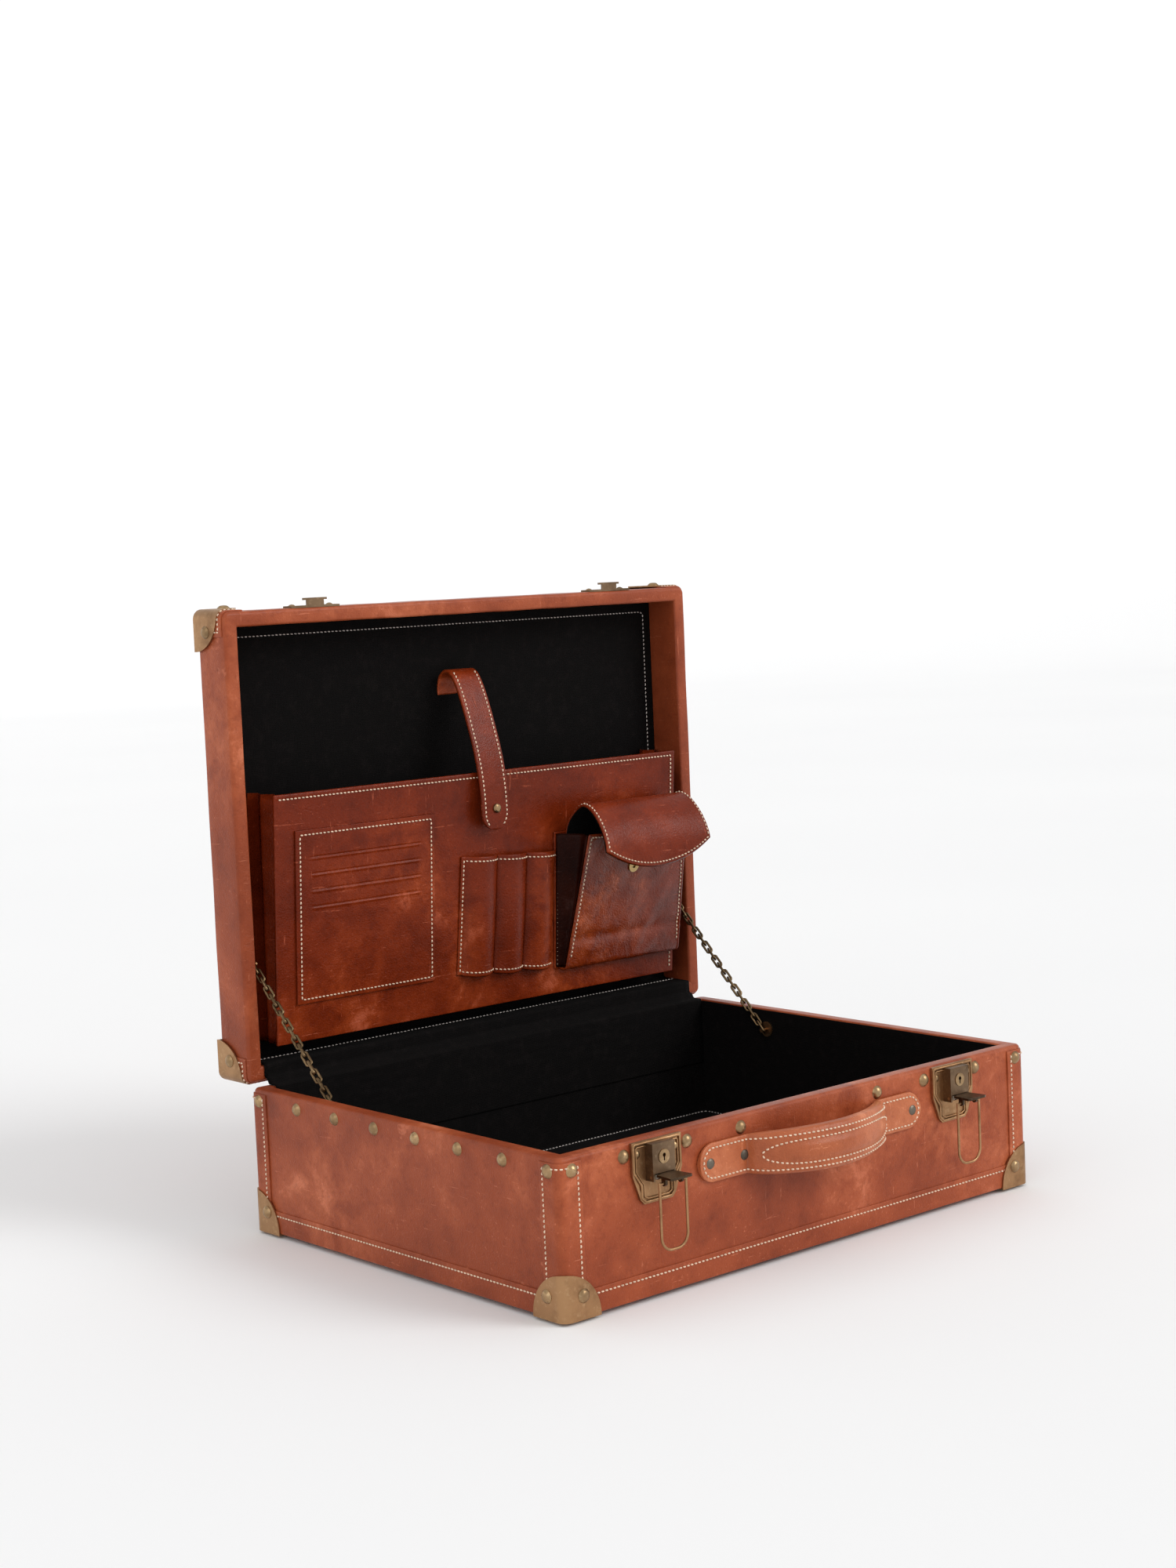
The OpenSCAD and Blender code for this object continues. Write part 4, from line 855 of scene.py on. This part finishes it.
def flap_pocket():
    """The bellows pocket: a front that leans out from its rounded foot and narrows upwards, a sewn
    strip behind it, and two sides folded inwards, coloured near-black as painted shade."""
    path = fillet([(0.6, 20.0), (7.6, 19.2), (25.1, 127.5)], [0, 5.0, 0], steps=10, longest=2.0)
    line = resampled(path, 90)
    u, v = even(80, 0.5)[None], np.linspace(0, 1, 90)[:, None]
    half = 61.0 - 9.5 * v
    x = FLAP_MID + 1.5 + u * half
    flow = np.stack(np.broadcast_arrays(x, line[:, 1:], 0 * v), -1)
    creases = ripple(flow, 30.0, 1.1, 31) + ripple(flow * [1, 0.35, 1], 9.0, 0.5, 33)
    belly = 0.9 * (1 - u ** 4) * np.sin(math.pi * v) ** 1.5 + creases * (1 - u ** 8) * (1 - 0.6 * v)
    belly -= 1.6 * bead(v - 0.26, 0.045) * (1 - u ** 6)
    edge = 1.1 * bead((1 - np.abs(u)) * half, 1.7) * (v > 0.04)
    drop = 1.5 * np.cos(u * math.pi / 2) * v ** 6
    skin = on_pocket(x, line[:, :1] + belly + edge, line[:, 1:] - drop + 0 * u)
    piece = thick("flap_pocket_front", skin, 1.8, "lid", "leather_organiser", CREASED, power=30.0)
    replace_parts(piece, "flap_pocket")

    def back(u, v, lift):
        return on_pocket(FLAP_MID + u * 64.0, lift, 73.8 + v * 54.2)

    slab("flap_pocket_back", back, 1.2, "lid", "leather_organiser", 40, 30, 40.0, under=0.05)
    up = np.linspace(21.0, 126.5, 44)[None]
    front = np.interp(up, path[:, 1], path[:, 0]) - 0.8
    t = np.linspace(0, 1, 24)[:, None]
    for side, word in SIDES:
        outer, inner = FLAP_MID + side * 62.5, FLAP_MID + 1.5 + side * (60.4 - 9.5 * (up - 19.5) / 108.0)
        fold = -side * 9.0 * np.sin(math.pi * t) ** 1.3 * np.clip(front / 16, 0, 1)
        sheet = on_pocket(outer + (inner - outer) * t + fold, 1.0 + t * (front - 1.0), up + 0 * t)
        # The sides take the painted-shade leather, not the organiser leather's own colour.
        thick(f"flap_pocket_side_{word}", sheet, 0.9, "lid", "leather_organiser", SHADED_SIDE_LEATHER)
    normals = outward_of(skin)
    edges = [int(np.argmin(np.abs(u[0] * 56 - side * 53.2))) for side, _ in SIDES]
    runs = [on_skin(skin, normals, slice(12, 88), col, 1.0) for col in edges]
    runs.append(on_skin(skin, normals, 87, slice(4, 76), 1.0))
    ups = np.linspace(22, 124, 50)
    runs += [(on_pocket(FLAP_MID + side * 61.2 + 0 * ups, 1.3, ups), OUTWARD) for side, _ in SIDES]
    seam("flap_pocket_stitches", runs, "lid", "leather_organiser")


def flap():
    """The flap: it rises from behind the pocket, arches over its mouth and hangs to a curved tip,
    which is |across|^2.1 short of the full drop."""
    path = resampled(spline([(1.6, 122), (1.7, 131), (5.2, 138.8), (11.6, 145.8), (19.5, 149.4),
                             (29.0, 146.5), (38.5, 138.5), (45.5, 128.5), (49.6, 117.0), (50.6, 100.5)]), 300)
    run = distance_along(path)
    u = even(100, 0.3)
    corner = run[-1] - 16.5
    s = np.linspace(0, 1, 90)[:, None] * (corner + 16.5 * (1 - np.abs(u) ** 2.1))[None]
    out, up = np.interp(s, run, path[:, 0]), np.interp(s, run, path[:, 1])
    widen = 52.0 + 3.0 * np.clip(s / corner, 0, 1) ** 2 + 3.0 * np.clip(1 - s / 25.0, 0, 1)
    x = FLAP_MID + 2.0 + u[None] * widen
    out = out + ripple(np.stack([x, out * 2, up], -1), 60.0, 1.1, 41) * np.clip(s / run[-1] * 2 - 0.4, 0, 1)
    skin = on_pocket(x, out, up)
    piece = thick("pocket_flap_leather", skin, 2.1, None, "leather_organiser", power=44.0)
    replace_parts(piece, "pocket_flap")
    under = thick("flap_lining", skin, 0.5, None, "lining_black", power=44.0, lift=-1.2)
    normals = outward_of(skin)
    col = int(np.argmin(np.abs(u * 55.0 + 52.2)))
    runs = [on_skin(skin, normals, slice(9, 86), c, 1.05) for c in (col, 99 - col)]
    runs.append(on_skin(skin, normals, 86, slice(col, 100 - col), 1.05))
    stitches = seam("flap_stitches", runs, None, "leather_organiser")
    for sheet in (piece, under, stitches):
        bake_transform(sheet)


def file_strap():
    """The strap that holds papers: sewn to the lining, arched, and bowed down over the pocket's mouth,
    with a round end and a domed snap."""
    path = spline([(-44.5, 236), (-44.5, 243), (-42, 250.5), (-35.5, 255), (-28, 252.3), (-21, 243),
                   (-14, 229.5), (-7, 213.5), (-0.8, 198), (3.8, 183), (7.0, 168), (8.7, 155), (9.2, 146),
                   (9.2, 137.5)])
    line, width, middle = resampled(path, 160), 13.0, 18
    left = distance_along(path)[-1] * np.linspace(1, 0, 160)
    half = width * np.where(left < width, np.sqrt((1 - ((width - left) / width) ** 2).clip(0.0004)), 1)
    x = half[:, None] * even(36, 0.5)[None]
    skin = on_pocket(x, line[:, :1] + 0 * x, line[:, 1:] + 0 * x)
    piece = thick("file_strap_leather", skin, 2.4, None, "leather_organiser", power=26.0)
    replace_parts(piece, "strap_root", "file_strap")
    normals = outward_of(skin)[:, middle]
    rows = np.arange(30, 156)
    rows = rows[left[rows] > 3.0]
    inset = np.maximum(half - 2.9, 0.2)[rows]
    runs = [(on_pocket(side * inset, line[rows, 0], line[rows, 1]) + normals[rows] * 1.25, normals[rows])
            for side in (1, -1)]
    stitches = seam("strap_stitches", runs, None, "leather_organiser")
    for sheet in (piece, stitches):
        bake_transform(sheet)
    row = int(np.argmin(np.abs(line[:, 1] - 154)))
    side, axis = np.array([1.0, 0, 0]), normals[row]
    rim = fillet([(0.0, 2.3), (2.0, 2.1), (3.4, 1.3), (3.6, 0.0), (3.4, -0.6), (0.0, -0.6)], 0.6, longest=0.5)
    a = turns(32)
    spoke = np.cos(a)[None, :, None] * side + np.sin(a)[None, :, None] * np.cross(axis, side)
    dome = skin[row, middle] + axis * 1.2 + rim[:, None, :1] * spoke + rim[:, None, 1:] * axis
    cap = make("strap_cap", dome, [quads(len(rim), 32, loop_cols=True)], "strap", "bright_brass", STUD)
    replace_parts(cap, "strap_snap_cap")


# ---------------------------------------------------------------- chains
def chains():
    """Oval links of round wire, each turned a quarter from the last, in the four half chains."""
    links, low_links, wire = 19, 8, 0.95
    mid_r = 3.0 - wire
    a, b = turns(28), turns(10)
    ox, oy = np.cos(a), np.sin(a)
    for _, word in SIDES:
        pins = [joint_at(f"{word}_stay_{part}_pivot") / MM for part in ("low", "high")]
        long = np.linalg.norm(pins[1] - pins[0])
        way = (pins[1] - pins[0]) / long
        pitch = (long + 2.3 - 0.9) / links
        straight = (pitch + 0.9 - 2.4) / 2
        first = straight + 1.2 - 1.15
        cx, cy = mid_r * ox + np.sign(ox) * (straight + 0.38), mid_r * oy
        flat_a, flat_b = np.array([1.0, 0, 0]), np.cross(way, [1.0, 0, 0])
        for part, numbers in (("low", range(low_links)), ("high", range(low_links, links))):
            points, faces = [], []
            for k in numbers:
                turn = math.radians(45 + 90 * (k % 2))
                wide = flat_a * math.cos(turn) + flat_b * math.sin(turn)
                oval = cx[:, None] * way + cy[:, None] * wide
                outward = ox[:, None] * way + oy[:, None] * wide
                tube = oval[:, None] + wire * (np.cos(b)[None, :, None] * outward[:, None]
                                               + np.sin(b)[None, :, None] * np.cross(way, wide))
                faces.append(quads(28, 10, True, True) + len(points) * 280)
                points.append((tube + pins[0] + way * (first + k * pitch)).reshape(-1, 3))
            piece = make(f"{word}_links_{part}", np.concatenate(points), faces, f"{word}_stay_{part}",
                         "antique_brass", CHAIN)
            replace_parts(piece, f"{word}_chain_{part}")


def domes(name, places, radius, high, body, slot, material, old):
    """Round heads: each place is (centre, outward axis); the profile is a dome with a rolled rim."""
    rim = fillet([(0.0, high), (radius * 0.62, high * 0.86), (radius, 0.25), (radius, -0.3)],
                 [0, radius * 0.5, 0.3, 0], steps=3, longest=3.0)
    rings, sides = len(rim) - 1, 18
    a, j = turns(sides), np.arange(sides)
    crown, last = rings * sides, (rings - 1) * sides
    points, faces = [], []
    for k, (centre, axis) in enumerate(places):
        axis = np.asarray(axis, float)
        side = unit(np.cross(axis, [0.3, 0.5, 0.8]))
        spoke = np.cos(a)[:, None] * side + np.sin(a)[:, None] * np.cross(axis, side)
        wall = centre + rim[1:, None, :1] * spoke + rim[1:, None, 1:] * axis
        points += [wall.reshape(-1, 3), (centre + axis * high)[None], (centre - axis * 0.3)[None]]
        base = k * (crown + 2)
        faces += [quads(rings, sides, loop_cols=True) + base,
                  np.stack([j, (j + 1) % sides, 0 * j + crown], 1)[:, ::-1] + base,
                  np.stack([last + j, last + (j + 1) % sides, 0 * j + crown + 1], 1) + base]
    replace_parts(make(name, np.concatenate(points), faces, body, slot, material), old)


def heads():
    """Domed heads on the corner guards and flat heads on the handle's tabs."""
    at = HALF_X - 14.0
    out_x = box_mm("base_corner_guards")[1][0]
    low, high = box_mm("base_corner_guards")
    z = box_mm("base_guard_rivets")[0][2] + 3.2
    places = []
    for sx in (-1, 1):
        for face, sign in ((low[1], -1), (high[1], 1)):
            places.append((np.array([sx * at, face, z]), (0, sign, 0)))
            places.append((np.array([sx * out_x, MID_Y + sign * (HALF_Y - 14.0), z]), (sx, 0, 0)))
    domes("base_guard_heads", places, 4.6, 2.3, "base", "antique_brass", STUD, "base_guard_rivets")
    low, high = box_mm("lid_corner_guards")
    y = LID_RIM_Y + LID_DEEP - 14.0
    places = []
    for sx in (-1, 1):
        for face, inner, sign in ((low[2], LID_LO[2] + 14, -1), (high[2], LID_HI[2] - 14, 1)):
            places.append((np.array([sx * at, y, face]), (0, 0, sign)))
            places.append((np.array([sx * out_x, y, inner]), (sx, 0, 0)))
            places.append((np.array([sx * at, high[1], inner]), (0, 1, 0)))
    domes("lid_guard_heads", places, 4.6, 2.3, "lid", "antique_brass", STUD, "lid_guard_rivets")
    low, high = box_mm("handle_rivets")
    z, out, step = (low[2] + high[2]) / 2, high[0] - 3.2, 30.5
    places = [(np.array([sx * x, FRONT_Y - 3.5, z]), (0, -1, 0)) for sx in (-1, 1) for x in (out, out - step)]
    domes("handle_heads", places, 3.5, 1.2, "base", "dark_bronze", GREY_RIVET, "handle_rivets")


def plate_borders():
    """A raised double bead along the edge of each latch plate: a round section carried round it."""
    low, high = box_mm("latch_plates")
    top, foot, half = high[2], low[2], 21.0
    knee = foot + 0.53 * (top - foot)
    for side, word in SIDES:
        x0 = side * (high[0] - half)
        for inset, radius, k in ((1.3, 0.95, "outer"), (3.3, 0.6, "inner")):
            shape = [(-half + inset, top - inset), (-half + inset, knee), (-half + 6 + inset, knee - 9),
                     (-half + 6 + inset, foot + 3.5 + inset * 0.4), (-half + 9 + inset, foot + inset)]
            shape += [(-px, pz) for px, pz in shape[::-1]]
            line = fillet(shape, [1.2, 2.5, 2.5, 1.5, 1.5, 1.5, 1.5, 2.5, 2.5, 1.2], longest=4.0, closed=True)
            ahead = unit(np.roll(line, -1, axis=0) - np.roll(line, 1, axis=0))
            across = np.stack([-ahead[:, 1], ahead[:, 0]], axis=1)
            a = turns(8)
            flat = line[:, None] + across[:, None] * (np.cos(a) * radius)[None, :, None]
            y = np.broadcast_to(low[1] + 0.15 - np.sin(a) * radius, flat.shape[:2])
            tube = np.stack([x0 + flat[..., 0], y, flat[..., 1]], axis=-1)
            make(f"{word}_plate_bead_{k}", tube, [quads(len(line), 8, True, True)], "base", "antique_brass")


leather_covers()
bottom_band()
edge_patches()
linings()
hinge_strip()
handle()
document_pocket()
card_panel()
pen_loops()
flap_pocket()
flap()
file_strap()
chains()
heads()
plate_borders()


# ---------------------------------------------------------------- stage, lights and camera
def stage_and_light():
    """A pale round floor whose far rim rises and glows, and soft studio light."""
    run = fillet([(0.02, 0.0), (9.5, 0.0), (13.0, 5.0)], 4.0, steps=16, longest=0.8)
    turn = turns(72)
    spun = np.stack([run[:, :1] * np.cos(turn), run[:, :1] * np.sin(turn), run[:, 1:] + 0 * turn], axis=-1)
    paint = Finish("studio_floor", roughness=0.8, Specular_IOR_Level=0.1, Emission_Strength=1.0)
    far = paint.add("ShaderNodeVectorMath", {"operation": "LENGTH"}, {0: paint.at}, "Value").above(6.5, 12.0)
    tone = paint.mix(paint.noise(0.9, 2), (0.88, 0.88, 0.885), (0.92, 0.92, 0.92))
    paint.to("Base Color", paint.mix(far, tone, (0.0, 0.0, 0.0)))
    paint.to("Emission Color", paint.mix(far, (0.0, 0.0, 0.0), (1.05, 1.05, 1.05)))
    faces = [quads(len(run), 72, loop_cols=True), np.arange(72)[None]]
    floor = make("studio_floor", spun / MM, faces, None, None, paint.material, closed=False)
    world = bpy.data.worlds[0] if bpy.data.worlds else bpy.data.worlds.new("studio")
    bpy.context.scene.world = world
    world.use_nodes = True
    world.node_tree.nodes["Background"].inputs[0].default_value = (1.0, 1.0, 1.0, 1)
    world.node_tree.nodes["Background"].inputs[1].default_value = 0.70
    for name, place, spread, power in (("key", (1.5, -2.3, 1.7), 30, 1.25),
                                       ("fill", (-2.4, -1.0, 1.5), 50, 0.45),
                                       ("top", (-0.2, 0.1, 2.6), 80, 0.15)):
        lamp = bpy.data.lights.new(name, "SUN")
        lamp.angle = math.radians(spread)
        lamp.energy = power
        lit = bpy.data.objects.new(name, lamp)
        bpy.context.scene.collection.objects.link(lit)
        lit.location = place
        lit.rotation_euler = Vector(place).to_track_quat("Z", "Y").to_euler()


def camera():
    """The camera: where it stands, its heading, tilt and roll, and its lens."""
    heading, tilt, roll = (math.radians(a) for a in (-40.96, 5.16, -2.49))
    back = Vector((math.sin(heading) * math.cos(tilt), -math.cos(heading) * math.cos(tilt), math.sin(tilt)))
    right = Vector((0, 0, 1)).cross(back).normalized()
    up = back.cross(right)
    level = Matrix((right, up, back)).transposed().to_4x4()
    lens = bpy.data.cameras.new("camera")
    lens.lens = 56.9
    lens.sensor_fit = "VERTICAL"
    lens.sensor_height = 36.0
    eye = bpy.data.objects.new("camera", lens)
    bpy.context.scene.collection.objects.link(eye)
    stand = Matrix.Translation((-1.16447, -1.30047, 0.46436))
    eye.matrix_world = stand @ level @ Matrix.Rotation(roll, 4, "Z")
    bpy.context.scene.camera = eye


stage_and_light()
camera()
bpy.context.scene.view_settings.view_transform = "Standard"
